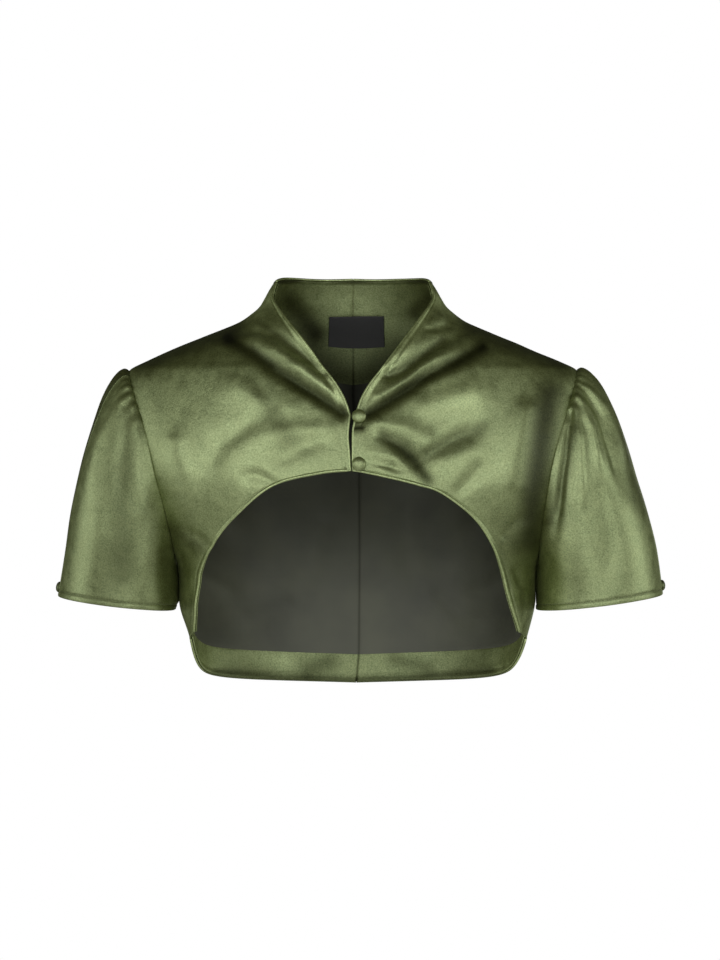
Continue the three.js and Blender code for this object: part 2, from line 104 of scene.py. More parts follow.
ARCH = {
    LEFT: [
        *[(1.8, -122.5), (28, -128), (52, -134), (72, -141), (97, -160.5)],
        *[(112, -182.5), (120, -204), (126, -228), (134.5, -257)],
    ],
    RIGHT: [
        *[(1.8, -122.5), (28, -125), (66.5, -135), (98, -160)],
        *[(117.5, -182.5), (129, -204), (134.5, -228), (137.5, -257)],
    ],
}
NECK_SPLIT_Z = -38

# Rows of a panel, as in the pattern: collar and shoulder, then the armhole beside V, centre front and round
# edge, then the side
COLLAR_ROWS = 9
NECK_ROWS = 3
CENTRE_ROWS = 2
ARCH_ROWS = 9
SIDE_ROWS = 5
ARM_ROWS = NECK_ROWS + CENTRE_ROWS + ARCH_ROWS
ROWS = COLLAR_ROWS + ARM_ROWS + SIDE_ROWS
FINE = 6  # mesh rows to one pattern row

# Drag folds and creases: the height of each, below 0 for a trough, its half width, and its path from the
# button or the neck towards the shoulder, in x and z
FOLD_COLUMNS = "height width path"
FRONT_FOLDS = {
    LEFT: each_row(
        FOLD_COLUMNS,
        (-4.4, 6.5, [(13, -76), (31, -65), (51, -51), (62, -42), (84, -32), (107, -20), (136, -12)]),
        (-5.0, 6.5, [(30, -44), (44, -38), (57, -28), (76, -14), (104, -4)]),
        (3.0, 6.0, [(22, -62), (44, -49), (62, -32), (88, -21)]),
        (2.0, 6.0, [(26, -36), (44, -22), (56, -6)]),
        (-2.4, 3.5, [(62, -5), (74, -3), (88, 1)]),
        (1.6, 4.0, [(66, 3), (78, 5)]),
        (-4.2, 7.5, [(24, -93), (37, -99), (51, -114), (62, -129)]),
        (2.0, 9.0, [(20, -84), (52, -92), (76, -112)]),
        (-3.6, 9.0, [(60, -110), (84, -97), (112, -84)]),
        (-2.0, 3.5, [(14, -114), (28, -118), (44, -124)]),
        (1.4, 4.0, [(14, -108), (40, -114)]),
        (2.6, 13.0, [(60, -70), (84, -62), (118, -52)]),
        (4.6, 15.0, [(140, -74), (134, -110), (128, -160)]),
        (-2.0, 7.0, [(86, -139), (98, -128), (112, -112)]),
        (-1.6, 5.0, [(122, -176), (134, -164), (148, -158)]),
        (-1.8, 5.0, [(132, -206), (140, -222), (141, -250)]),
    ),
    RIGHT: each_row(
        FOLD_COLUMNS,
        (-4.4, 6.5, [(9, -75), (28, -62), (46, -51), (63, -40), (83, -24), (103, -12), (120, -6)]),
        (-3.0, 5.5, [(24, -42), (39, -29), (59, -13), (78, 1)]),
        (3.0, 6.0, [(18, -58), (40, -40), (60, -26), (84, -10)]),
        (1.8, 5.0, [(20, -34), (40, -14), (52, 2)]),
        (-3.0, 6.0, [(70, -8), (86, -5), (106, -3)]),
        (-1.8, 8.0, [(76, -56), (69, -65), (62, -76)]),
        (2.4, 12.0, [(52, -70), (84, -60), (116, -46)]),
        (-2.0, 9.0, [(28, -98), (46, -104), (70, -120)]),
        (1.8, 10.0, [(20, -88), (60, -92), (96, -100)]),
        (-2.2, 9.0, [(84, -84), (108, -100), (124, -128)]),
        (3.2, 13.0, [(146, -100), (139, -134), (130, -168)]),
        (-1.6, 6.0, [(66, -132), (80, -126), (96, -128)]),
        (-1.6, 5.0, [(120, -186), (132, -176), (146, -172)]),
        (-1.6, 5.0, [(134, -214), (141, -232), (141, -252)]),
    ),
}


def smooth(rows, name, at):
    """Smooth value of a column at places along the table's first column, flat past its ends."""
    x, y = next(iter(rows.values())), rows[name]
    slope = np.empty_like(y)
    slope[1:-1] = (y[2:] - y[:-2]) / (x[2:] - x[:-2])
    slope[0] = (y[1] - y[0]) / (x[1] - x[0])
    slope[-1] = (y[-1] - y[-2]) / (x[-1] - x[-2])
    at = np.clip(at, x[0], x[-1])
    i = np.clip(np.searchsorted(x, at, side="right") - 1, 0, len(x) - 2)
    step = x[i + 1] - x[i]
    s = (at - x[i]) / step
    start, end, rise = slope[i] * step, slope[i + 1] * step, y[i + 1] - y[i]
    return y[i] + start * s + (3 * rise - 2 * start - end) * s**2 + (start + end - 2 * rise) * s**3


def mix(a, b, share):
    return a + (b - a) * share


def bell(distance, width):
    """1 at no distance, falling off smoothly over the width."""
    return np.exp(-((distance / width) ** 2))


def unit(v):
    return v / np.maximum(np.linalg.norm(v, axis=-1, keepdims=True), 1e-9)


def body(angle, z, face):
    """Points of the body's form on the wearer's left half, at angles from the side to the middle."""
    angle, z = np.broadcast_arrays(np.asarray(angle, float), np.asarray(z, float))
    half = smooth(BODY_RINGS, "half", z)
    towards_front = np.where(angle < 0, -face, face) < 0
    depth = np.where(towards_front, smooth(BODY_RINGS, "front", z), smooth(BODY_RINGS, "back", z))
    c, s = np.cos(angle), np.sin(angle)
    x = half * np.sign(c) * np.abs(c) ** (2 / SQUARENESS)
    y = depth * np.sign(s) * np.abs(s) ** (2 / SQUARENESS) * face
    return np.stack([x, y, z], axis=-1)


def body_normal(angle, z, face):
    h = 0.02
    round_it = body(angle + h, z, face) - body(angle - h, z, face)
    up = body(angle, z + 1, face) - body(angle, z - 1, face)
    return unit(np.cross(round_it, up)) * face


def angle_at_x(x, z):
    share = np.clip(x / smooth(BODY_RINGS, "half", z), 0, 1)
    return np.arccos(share ** (SQUARENESS / 2))


def seam_angle(z, face):
    depth = smooth(BODY_RINGS, "front" if face < 0 else "back", z)
    return np.arcsin((SEAM / 2 / depth) ** (SQUARENESS / 2))


def along_curve(points, shares):
    """Points at shares of the length of a smooth curve through the given ones."""
    p = np.array(points, float)
    p = np.vstack([p[:1], p, p[-1:]])
    t = np.linspace(0, 1, 60, endpoint=False)[:, None]
    pieces = []
    for a, b, c, d in zip(p, p[1:], p[2:], p[3:]):
        v0, v1 = (c - a) / 2, (d - b) / 2
        pieces.append(b + v0 * t + (3 * (c - b) - 2 * v0 - v1) * t**2 + (2 * (b - c) + v0 + v1) * t**3)
    line = np.vstack([*pieces, p[-1:]])
    length = np.concatenate([[0], np.cumsum(np.linalg.norm(np.diff(line, axis=0), axis=1))])
    at = np.asarray(shares) * length[-1]
    return np.stack([np.interp(at, length, line[:, k]) for k in range(2)], axis=-1)


def share_at_level(points, level):
    shares = np.linspace(0, 1, 4001)
    return shares[np.argmin(np.abs(along_curve(points, shares)[:, 1] - level))]


def armhole_level(share):
    return mix(SHOULDER_Z, UNDERARM_Z, (1 - np.cos(np.pi * share)) / 2)


def outer_edge(rows, face):
    """Angle and level of a panel's outer edge: collar and shoulder seam, armhole, side seam."""
    shoulder = mix(COLLAR_TOP, SHOULDER_Z, rows / COLLAR_ROWS)
    arm = armhole_level(np.clip((rows - COLLAR_ROWS) / ARM_ROWS, 0, 1))
    below = mix(UNDERARM_Z, SIDE_HEM_Z, (rows - COLLAR_ROWS - ARM_ROWS) / SIDE_ROWS)
    on_arm = (rows > COLLAR_ROWS) & (rows < COLLAR_ROWS + ARM_ROWS)
    z = np.where(rows <= COLLAR_ROWS, shoulder, np.where(on_arm, arm, below))
    seam = seam_angle(z, face)
    armhole = np.maximum(angle_at_x(smooth(ARMHOLE, "x", z), z), seam)
    return np.where(on_arm, armhole, seam), z


NECK_SHARE = share_at_level(NECK_EDGE, NECK_SPLIT_Z)
ARCH_SHARE = {side: share_at_level(ARCH[side], UNDERARM_Z - 2) for side in ARCH}


def front_edge(rows, side):
    """Angle and level of a front's inner edge: the V, the centre front and the round lower edge."""
    neck_end = COLLAR_ROWS + NECK_ROWS
    centre_end = neck_end + CENTRE_ROWS
    arch_end = centre_end + ARCH_ROWS
    neck = np.interp(rows, [0, COLLAR_ROWS, neck_end], [0, NECK_SHARE, 1])
    arch = np.interp(rows, [centre_end, arch_end, ROWS], [0, ARCH_SHARE[side], 1])
    centre_z = np.interp(rows, [neck_end, centre_end], [NECK_POINT_Z, FRONT_FOOT_Z])
    centre = np.stack([smooth(CENTRE_EDGE, HANDS[side], centre_z), centre_z], axis=-1)
    on_neck, on_arch = rows[:, None] < neck_end, rows[:, None] > centre_end
    below = np.where(on_arch, along_curve(ARCH[side], arch), centre)
    p = np.where(on_neck, along_curve(NECK_EDGE, neck), below)
    return angle_at_x(p[:, 0], p[:, 1]), p[:, 1]


def nearest_on(path, x, z):
    """Distance of places to a path of straight legs, and the share of its length at the nearest point."""
    path = np.array(path, float)
    leg = np.diff(path, axis=0)
    total = np.hypot(*leg.T).sum()
    nearest, reached, before = np.full_like(x, np.inf), np.zeros_like(x), 0.0
    for (px, pz), (dx, dz) in zip(path, leg):
        size = math.hypot(dx, dz)
        along = np.clip(((x - px) * dx + (z - pz) * dz) / size**2, 0, 1)
        away = np.hypot(x - px - along * dx, z - pz - along * dz)
        reached = np.where(away < nearest, (before + along * size) / total, reached)
        nearest = np.minimum(nearest, away)
        before += size
    return nearest, reached


def drag_folds(folds, x, z):
    """Height of all folds at places on a panel. Each starts narrow, opens along its path and dies out."""
    height = np.zeros_like(x)
    for fold in folds:
        away, reached = nearest_on(fold["path"], x, z)
        width = fold["width"] * mix(0.65, 1.15, reached)
        fade = mix(0.7, 1.0, np.sin(np.pi * reached)) * np.minimum(1, (1 - reached) * 3.5)
        height += fold["height"] * fade * bell(away, width)
    return height


WAVES = table(
    "kx ky kz phase height",
    (31, 12, 47, 0.3, 0.3),
    (-52, 20, 36, 1.9, 0.22),
    (74, -31, -58, 4.1, 0.16),
    (118, 44, 87, 2.6, 0.1),
    (-146, 61, 133, 5.2, 0.07),
)


def soft_waves(p):
    """Small unevenness of cloth that isn't pulled flat: a few waves 40 to 200 mm long."""
    total = np.zeros(p.shape[:-1])
    for kx, ky, kz, phase, height in zip(*WAVES.values()):
        total += height * np.sin((p @ np.array([kx, ky, kz])) * MM + phase)
    return total


def placed(side, p):
    x = side * p[..., 0] + smooth(BODY_RINGS, "drift", p[..., 2])
    return np.stack([x, p[..., 1], p[..., 2]], axis=-1)


def cloth(side, face, angle, z, depth, folds):
    """Points and outward normals of the draped cloth, a depth inside its outer face."""
    p, n = body(angle, z, face), body_normal(angle, z, face)
    height = drag_folds(folds, p[..., 0], z) * np.minimum(1, np.sin(angle) * 3)
    p = p + n * (height + soft_waves(p * [side, 1, 1]) - depth)[..., None]
    return placed(side, p), n * [side, 1, 1]


def grid_normals(p, like):
    """Normals of a grid of points, turned to the side that like points to."""
    n = unit(np.cross(np.gradient(p, axis=0), np.gradient(p, axis=1)))
    return n * np.sign((n * like).sum(-1, keepdims=True))


# How far a wall goes on at a seam, as shares of half its thickness: where it nearly closes, and where a
# groove stays
CLOSED, GROOVE = 1.1, 0.55
TOP, BOTTOM, OUTER, INNER = "top bottom outer inner".split()
RIM_ROWS = 3


def quads(index):
    """The quads of a grid of vertex numbers."""
    return np.stack([index[:-1, :-1], index[1:, :-1], index[1:, 1:], index[:-1, 1:]], -1).reshape(-1, 4)


def shell(name, outer, normal, thickness, seams):
    """A piece of cloth as a closed wall with rounded rims, from the points of its outer face. At its seams
    it goes on by a share of half its thickness, so that the two rims meet in a groove."""
    half = thickness / 2
    middle = outer - normal * half
    index, turn = [], []
    for count in outer.shape[:2]:
        step = np.arange(-RIM_ROWS, count + RIM_ROWS)
        index.append(np.clip(step, 0, count - 1))
        turn.append(np.maximum(np.maximum(-step, step - count + 1), 0) / RIM_ROWS * math.pi / 2)
    grid = np.ix_(*index)
    points, lift = middle[grid], normal[grid] * half
    lift = lift * (np.cos(turn[0])[:, None] * np.cos(turn[1])[None])[..., None]
    for axis in (0, 1):
        m = np.moveaxis(middle, axis, 0)
        p = np.moveaxis(points, axis, 0)
        across = index[1 - axis]
        ends = [
            (0, 1, range(RIM_ROWS + 1), (TOP, OUTER)[axis]),
            (-1, -2, range(-RIM_ROWS - 1, 0), (BOTTOM, INNER)[axis]),
        ]
        for edge, next_one, rim_rows, where in ends:
            out = (m[edge] - m[next_one])[across]
            room = np.linalg.norm(out, axis=-1, keepdims=True)
            inset = np.minimum(half, 0.45 * room) - seams.get(where, 0) * half
            for r in rim_rows:
                p[r] += unit(out) * (half * math.sin(turn[axis][r]) - inset)
    size = points.shape[:2]
    top = np.arange(size[0] * size[1]).reshape(size)
    under = top + top.size
    for edge in (np.s_[0], np.s_[-1], np.s_[:, 0], np.s_[:, -1]):
        under[edge] = top[edge]
    vertices = np.concatenate([(points + lift).reshape(-1, 3), (points - lift).reshape(-1, 3)])
    return closed_mesh(name, vertices, np.concatenate([quads(top), quads(under)[:, ::-1]]))


def closed_mesh(name, vertices, faces):
    """A mesh object in metres from points in millimetres and quads, turned so that its faces point out."""
    used, faces = np.unique(faces, return_inverse=True)
    faces = faces.reshape(-1, 4)
    vertices = vertices[used] * MM
    a, b, c, d = (vertices[faces[:, k]] for k in range(4))
    if (a * np.cross(b, c)).sum() + (a * np.cross(c, d)).sum() < 0:
        faces = faces[:, ::-1]
    mesh = bpy.data.meshes.new(name)
    mesh.from_pydata(vertices.tolist(), [], faces.tolist())
    mesh.validate()
    mesh.shade_smooth()
    piece = bpy.data.objects.new(name, mesh)
    bpy.context.scene.collection.objects.link(piece)
    return piece


def tube(name, rings):
    """A closed mesh from rings of points, with quads across its two ends."""
    sides = rings.shape[1]
    index = np.arange(len(rings) * sides).reshape(-1, sides)
    after = np.roll(index, -1, axis=1)
    faces = np.stack([index[:-1], index[1:], after[1:], after[:-1]], -1).reshape(-1, 4)
    caps = [
        [ring[k], ring[k + 1], ring[-2 - k], ring[-1 - k]]
        for ring in (index[0], index[-1][::-1])
        for k in range(sides // 2 - 1)
    ]
    return closed_mesh(name, rings.reshape(-1, 3), np.concatenate([faces, np.array(caps)]))


def rope(name, line, across, radius, sides=10):
    """A closed round tube along a line of points, with its first side towards a given direction."""
    tangent = unit(np.gradient(line, axis=0))
    first = unit(across - tangent * (across * tangent).sum(-1, keepdims=True))
    second = np.cross(tangent, first)
    turn = np.arange(sides) * 2 * np.pi / sides
    ring = first[:, None] * np.cos(turn)[None, :, None] + second[:, None] * np.sin(turn)[None, :, None]
    taper = np.ones(len(line))
    taper[[0, -1]] = 0.95
    return tube(name, line[:, None] + ring * (radius * taper)[:, None, None])


def stitches(name, line, normals, pitch=3.0, size=2.2, radius=0.22):
    """A row of single stitches along a line of points on the cloth, each a short flat capsule of thread."""
    along = np.concatenate([[0], np.cumsum(np.linalg.norm(np.diff(line, axis=0), axis=1))])
    first = np.arange(1, along[-1] - size - 1, pitch)
    a, b, n = (
        np.stack([np.interp(first + step, along, values[:, k]) for k in range(3)], axis=-1)
        for step, values in ((0, line), (size, line), (size / 2, normals))
    )
    way = unit(b - a)
    across = np.cross(way, n) * radius
    up = n * radius
    ends = [(a, -0.3), (a, 0.8), (b, 0.8), (b, -0.3)]
    points = np.stack([p + across * s + up * h for p, h in ends for s in (-1, 1)], axis=1)
    sides = np.array([[0, 1, 3, 2], [2, 3, 5, 4], [4, 5, 7, 6], [6, 7, 1, 0], [0, 2, 4, 6], [1, 7, 5, 3]])
    faces = (sides[None] + 8 * np.arange(len(first))[:, None, None]).reshape(-1, 4)
    return closed_mesh(name, points.reshape(-1, 3), faces)


def linear(hex_colour):
    """An sRGB hex colour as the linear one that a shader takes."""
    parts = [int(hex_colour[i : i + 2], 16) / 255 for i in (1, 3, 5)]
    return [v / 12.92 if v <= 0.04045 else ((v + 0.055) / 1.055) ** 2.4 for v in parts] + [1.0]


def add_node(tree, kind, settings=None, **inputs):
    """Adds a shader node, sets it and its inputs, and links the inputs that are given as outputs."""
    node = tree.nodes.new(kind)
    for key, value in (settings or {}).items():
        setattr(node, key, value)
    for key, value in inputs.items():
        socket = node.inputs[int(key[2:]) if key.startswith("at") else key.replace("_", " ")]
        if isinstance(value, bpy.types.NodeSocket):
            tree.links.new(value, socket)
        else:
            socket.default_value = value
    return node


def new_material(name):
    """A material with its node tree and its shader."""
    material = bpy.data.materials.new(name)
    material.use_nodes = True
    return material, material.node_tree, material.node_tree.nodes["Principled BSDF"]


def satin_velvet():
    """Viscose satin velvet with its pile pressed down. The ground is a dull brown olive that shows where
    the cloth turns away from the light. The pressed pile gives a silky green gleam over it, in fine grain
    and soft patches. Both colours and the specular level are scaled by the mesh attribute that the stroke
    tables lay down: painted shade where it is below 1, painted highlight where it is above 1, and a few
    dark lines along the centre back seam."""
    material, tree, shader = new_material("satin_velvet_olive")
    place = add_node(tree, "ShaderNodeTexCoord").outputs["Object"]
    tuft = 1.2  # mm, drawn about three times as coarse as the real pile so that it shows
    patch = 9.0  # mm, patches of pile that lie one way
    cloud = 60.0  # mm, slow change over the panel
    grain, patches, clouds = (
        add_node(tree, "ShaderNodeTexNoise", Vector=place, Scale=1000 / size, Detail=detail, Roughness=rough)
        for size, detail, rough in ((tuft, 2.0, 0.7), (patch, 3.0, 0.5), (cloud, 2.0, 0.5))
    )
    grain, patches, clouds = grain.outputs["Fac"], patches.outputs["Fac"], clouds.outputs["Fac"]
    mixed = add_node(tree, "ShaderNodeMath", {"operation": "MULTIPLY_ADD"}, at0=patches, at1=0.35, at2=grain)
    mixed = mixed.outputs[0]
    mixed = add_node(tree, "ShaderNodeMath", {"operation": "MULTIPLY_ADD"}, at0=clouds, at1=0.16, at2=mixed)
    # Painted light and shade: the stroke attribute scales both colours below and caps the specular level at
    # 1.
    nap = add_node(tree, "ShaderNodeAttribute", {"attribute_name": "nap"}).outputs["Fac"]
    for socket, dark, light in (
        ("Base Color", "#27280f", "#42461f"),
        ("Specular Tint", "#82946a", "#d0dfa9"),
    ):
        ramp = add_node(tree, "ShaderNodeValToRGB", Fac=mixed.outputs[0])
        low, high = ramp.color_ramp.elements
        low.position, low.color = 0.43, linear(dark)
        high.position, high.color = 0.93, linear(light)
        colour = ramp.outputs["Color"]
        shaded_colour = add_node(tree, "ShaderNodeVectorMath", {"operation": "SCALE"}, at0=colour, Scale=nap)
        tree.links.new(shaded_colour.outputs["Vector"], shader.inputs[socket])
    level = add_node(tree, "ShaderNodeMath", {"operation": "MINIMUM"}, at0=nap, at1=1.0)
    tree.links.new(level.outputs[0], shader.inputs["Specular IOR Level"])
    rough = add_node(
        tree, "ShaderNodeMapRange", Value=patches, From_Min=0.3, From_Max=0.7, To_Min=0.42, To_Max=0.52
    )
    tree.links.new(rough.outputs["Result"], shader.inputs["Roughness"])
    fine = add_node(tree, "ShaderNodeBump", Strength=0.35, Distance=0.0004, Height=grain).outputs["Normal"]
    broad = add_node(tree, "ShaderNodeBump", Strength=0.3, Distance=0.001, Height=patches, Normal=fine)
    tree.links.new(broad.outputs["Normal"], shader.inputs["Normal"])
    shader.inputs["IOR"].default_value = 2.6
    return material


velvet = satin_velvet()
# Limits of the factor of painted light and shade
PAINTED_LIGHT_RANGE = 0.12, 2.2


def paint_light_strokes(piece, strokes):
    """Paints light and shade on a piece as a mesh attribute that its material multiplies in: darker along
    strokes below 0, lighter along strokes above 0.
    """
    x, _, z = np.array([v.co for v in piece.data.vertices]).T / MM
    nap = np.ones_like(x)
    for stroke in strokes:
        away, _ = nearest_on(stroke["path"], x, z)
        nap += stroke["nap"] * bell(away, stroke["width"])
    values = piece.data.attributes.new("nap", "FLOAT", "POINT").data
    values.foreach_set("value", np.clip(nap, *PAINTED_LIGHT_RANGE))


def lengths(p):
    """Length of each row of a grid of points, and of each column, in millimetres."""
    return [np.linalg.norm(np.diff(p, axis=axis), axis=-1).sum(axis) for axis in (1, 0)]


def finish_piece(piece, material, strokes):
    """Gives a piece its material and its painted light and shade, and says where it belongs."""
    piece.data.materials.append(material)
    paint_light_strokes(piece, strokes)
    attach(piece, "root")


def sew(name, node, points, like, thickness, seams, material, slot, held="draped", under=(), strokes=()):
    """Makes a piece of cloth from a grid of points, gives it its material, and hides the part that it stands
    for.
    """
    piece = shell(name, points, grid_normals(points, like), thickness, seams)
    finish_piece(piece, material, strokes)
    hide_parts(node)


def sew_velvet(node, points, like, thickness, seams, **how):
    sew(f"cloth_{node}", node, points, like, thickness, seams, velvet, "main_cloth", **how)


def roll_edge(name, points, normals, strokes):
    """The rolled edge of a panel: a narrow rope of the velvet along the middle of its wall."""
    roll = rope(f"rolled_edge_{name}", points - normals * VELVET_THICKNESS / 2, normals, ROLL_RADIUS)
    finish_piece(roll, velvet, strokes)


def fine_rows(first=0, last=ROWS):
    """Rows of the mesh, twice as close in the top row of the collar."""
    rows = np.linspace(first, last, round((last - first) * FINE) + 1)
    return np.unique(np.concatenate([rows, rows[:FINE] + 0.5 / FINE])) if first == 0 else rows


FRONT_COLUMNS = 70
EDGE_COLUMNS = 15
EDGE_BAND = 7.5
BAND_COLUMNS = 14
ROLL_RADIUS = 1.0
ROLL_HEIGHT = 0.45
ROLL_WIDTH = 1.3
STITCH_DISTANCE = 4.3
STITCH_WIDTH = 1.2


def edge_roll(distance):
    """The rounded turned edge, and the shallow groove that the row of stitches inside it pulls in."""
    groove = bell(distance - STITCH_DISTANCE, STITCH_WIDTH)
    return ROLL_HEIGHT * bell(distance - ROLL_WIDTH, ROLL_WIDTH) - ROLL_HEIGHT * groove


def front_grid(side, rows, band=None, depth=0.0):
    """Points of a front, or of a band of it along its inner edge, with close columns at that edge."""
    (a0, z0), (a1, z1) = outer_edge(rows, FRONT), front_edge(rows, side)
    across = np.linspace(0, 1, 40)[None]
    angle, z = mix(a0[:, None], a1[:, None], across), mix(z0[:, None], z1[:, None], across)
    plain, _ = cloth(side, FRONT, angle, z, 0.0, [])
    width = lengths(plain)[0][:, None]
    first = 1 - np.minimum(band, width * 0.9) / width if band else 0 * width
    near = 1 - np.minimum(EDGE_BAND, width * 0.3) / width
    columns = FRONT_COLUMNS if band is None else BAND_COLUMNS
    wide = mix(first, near, np.linspace(0, 1, columns)[None])
    close = mix(near, 1, np.linspace(0, 1, EDGE_COLUMNS)[None])
    share = np.hstack([wide, close[:, 1:]])
    angle = mix(a0[:, None], a1[:, None], share)
    z = mix(z0[:, None], z1[:, None], share)
    points, normals = cloth(side, FRONT, angle, z, depth, FRONT_FOLDS[side])
    top = np.cumsum(np.concatenate([[0], np.linalg.norm(np.diff(points[:, 0], axis=0), axis=1)]))[:, None]
    near_edge = np.minimum((1 - share) * width, top)
    sign = 1 if depth == 0 else -1
    return points + normals * (sign * edge_roll(near_edge))[..., None], normals


# Strokes of painted light and shade: how much each brightens the cloth, or darkens it if below 0, its half
# width, and its path in x and z. Shade is painted along the drag folds, on the shoulders and beside the left
# armhole, and highlights on the collar and along the V.
PAINT_STROKE_COLUMNS = "nap width path"
ALL_OVER = 999, [(-1, 0), (1, 0)]
# Painted shade on both shoulders and painted highlights on both sides of the collar
SHOULDER_PAINTED_LIGHT = each_row(
    PAINT_STROKE_COLUMNS,
    (-0.50, 10, [(98, -4), (140, -21), (174, -34)]),
    (-0.50, 10, [(-98, -4), (-140, -21), (-174, -34)]),
    (0.80, 6, [(-80, 8), (-72, 24)]),
    (1.00, 5, [(71, 21), (81, 12)]),
)
# Painted shade in the drag folds, beside the left armhole and just below the upper button; painted
# highlights along both edges of the V and on the left front's chest
FRONT_PAINTED_LIGHT = SHOULDER_PAINTED_LIGHT + each_row(
    PAINT_STROKE_COLUMNS,
    (-0.66, 13, [(162, -59), (155, -105), (149, -147), (147, -180)]),
    (-0.80, 6, [(13, -76), (30, -66), (50, -52), (84, -34), (107, -21)]),
    (-0.55, 5, [(25, -94), (50, -114), (61, -130)]),
    (-0.35, 6, [(61, -109), (84, -97), (107, -86)]),
    (-0.20, 9, [(123, -164), (136, -197), (142, -231)]),
    (-0.85, 3.6, [(2, -87.5), (7, -87.5)]),
    (-0.70, 6, [(-8, -75), (-28, -63), (-46, -52), (-83, -25), (-103, -14)]),
    (-0.35, 3, [(-23, -42), (-59, -13), (-79, 1)]),
    (-0.30, 7, [(-150, -172), (-128, -185)]),
    (-0.20, 8, [(-76, -56), (-63, -74), (-53, -97)]),
    (0.30, 14, [(74, -54), (96, -62)]),
    (-0.22, 8, [(118, -185), (128, -218)]),
    (-0.25, 10, [(44, -104), (48, -112)]),
    (0.45, 5, [(-68, 22), (-42, -12), (-22, -42), (-9, -62)]),
    (0.45, 5, [(70, 22), (50, -8), (30, -34), (13, -58)]),
    (-0.45, 4, [(28, -44), (46, -36), (60, -26), (74, -14)]),
)
# Painted highlight: the rolled edges of the fronts and of the back collar are drawn brighter all along
EDGE_PAINTED_HIGHLIGHT = each_row(PAINT_STROKE_COLUMNS, (0.6, *ALL_OVER))
for side, hand in HANDS.items():
    points, like = front_grid(side, fine_rows())
    seams = {OUTER: CLOSED}
    sew_velvet(f"front_{hand}", points, like, VELVET_THICKNESS, seams, strokes=FRONT_PAINTED_LIGHT)
    roll_edge(f"front_{hand}", points[:, -1], grid_normals(points, like)[:, -1], EDGE_PAINTED_HIGHLIGHT)

# The two backs
# Plain fitted halves with a centre back seam, cut in one with the back of the stand collar. The hem is round
# at the sides and nearly level behind.
BACK_COLLAR_RISE = 3.4
COLLAR_CROWN = 8.0
NECK_FACING_MIDDLE_Z = -48
NECK_FACING_ROWS = 5
HEM_FACING_ROWS = 2
SIDE_SHARES = [0, 0.25, 0.5, 0.74, 0.87, 1]
BACK_COLUMNS = 76
CENTRE_GROOVE, CENTRE_GROOVE_WIDTH, CENTRE_GROOVE_END = 0.4, 1.1, 4
SEAM_BAND = 5.5
SEAM_COLUMNS = np.array([[4.0, 3.0, 2.2, 1.5, 0.9, 0.4, 0.0]])  # distances from the centre seam
CORNER_ROWS = 3  # rows over which the grid bends round the corner of neck and shoulder
CORNER_LEVEL, CORNER_ANGLE = 1.7, 2
CROWN_START = 0.04
HEM = table(
    "angle z",
    *[(0, -264), (4, -273), (8, -280), (13, -286.5), (19, -291.5)],
    *[(27, -295), (40, -298), (60, -300.5), (90, -303)],
)
CENTRE_LEAN = table("z lean", (-60, 0), (-125, 5.0), (-202, 2.6), (-278, 0.4), (-303, 1.0))
BACK_FOLDS = {
    LEFT: each_row(
        FOLD_COLUMNS,
        (-2.5, 14.0, [(40, -36), (70, -48), (100, -70)]),
        (-3.0, 13.0, [(126, -80), (116, -140), (98, -200)]),
        (2.0, 16.0, [(40, -150), (46, -200), (62, -250)]),
        (1.2, 9.0, [(20, -30), (34, -62)]),
        (-1.4, 9.0, [(70, -230), (92, -248), (118, -258)]),
        (-1.6, 8.0, [(136, -206), (112, -222), (90, -226)]),
    ),
    RIGHT: each_row(
        FOLD_COLUMNS,
        (-2.5, 14.0, [(50, -30), (84, -44), (112, -62)]),
        (-3.0, 12.0, [(120, -90), (112, -150), (102, -192)]),
        (2.0, 15.0, [(30, -170), (44, -210), (66, -255)]),
        (1.2, 9.0, [(18, -36), (40, -60)]),
        (-1.3, 10.0, [(62, -236), (88, -250), (112, -254)]),
        (-1.4, 7.0, [(138, -210), (118, -220), (100, -232)]),
    ),
}


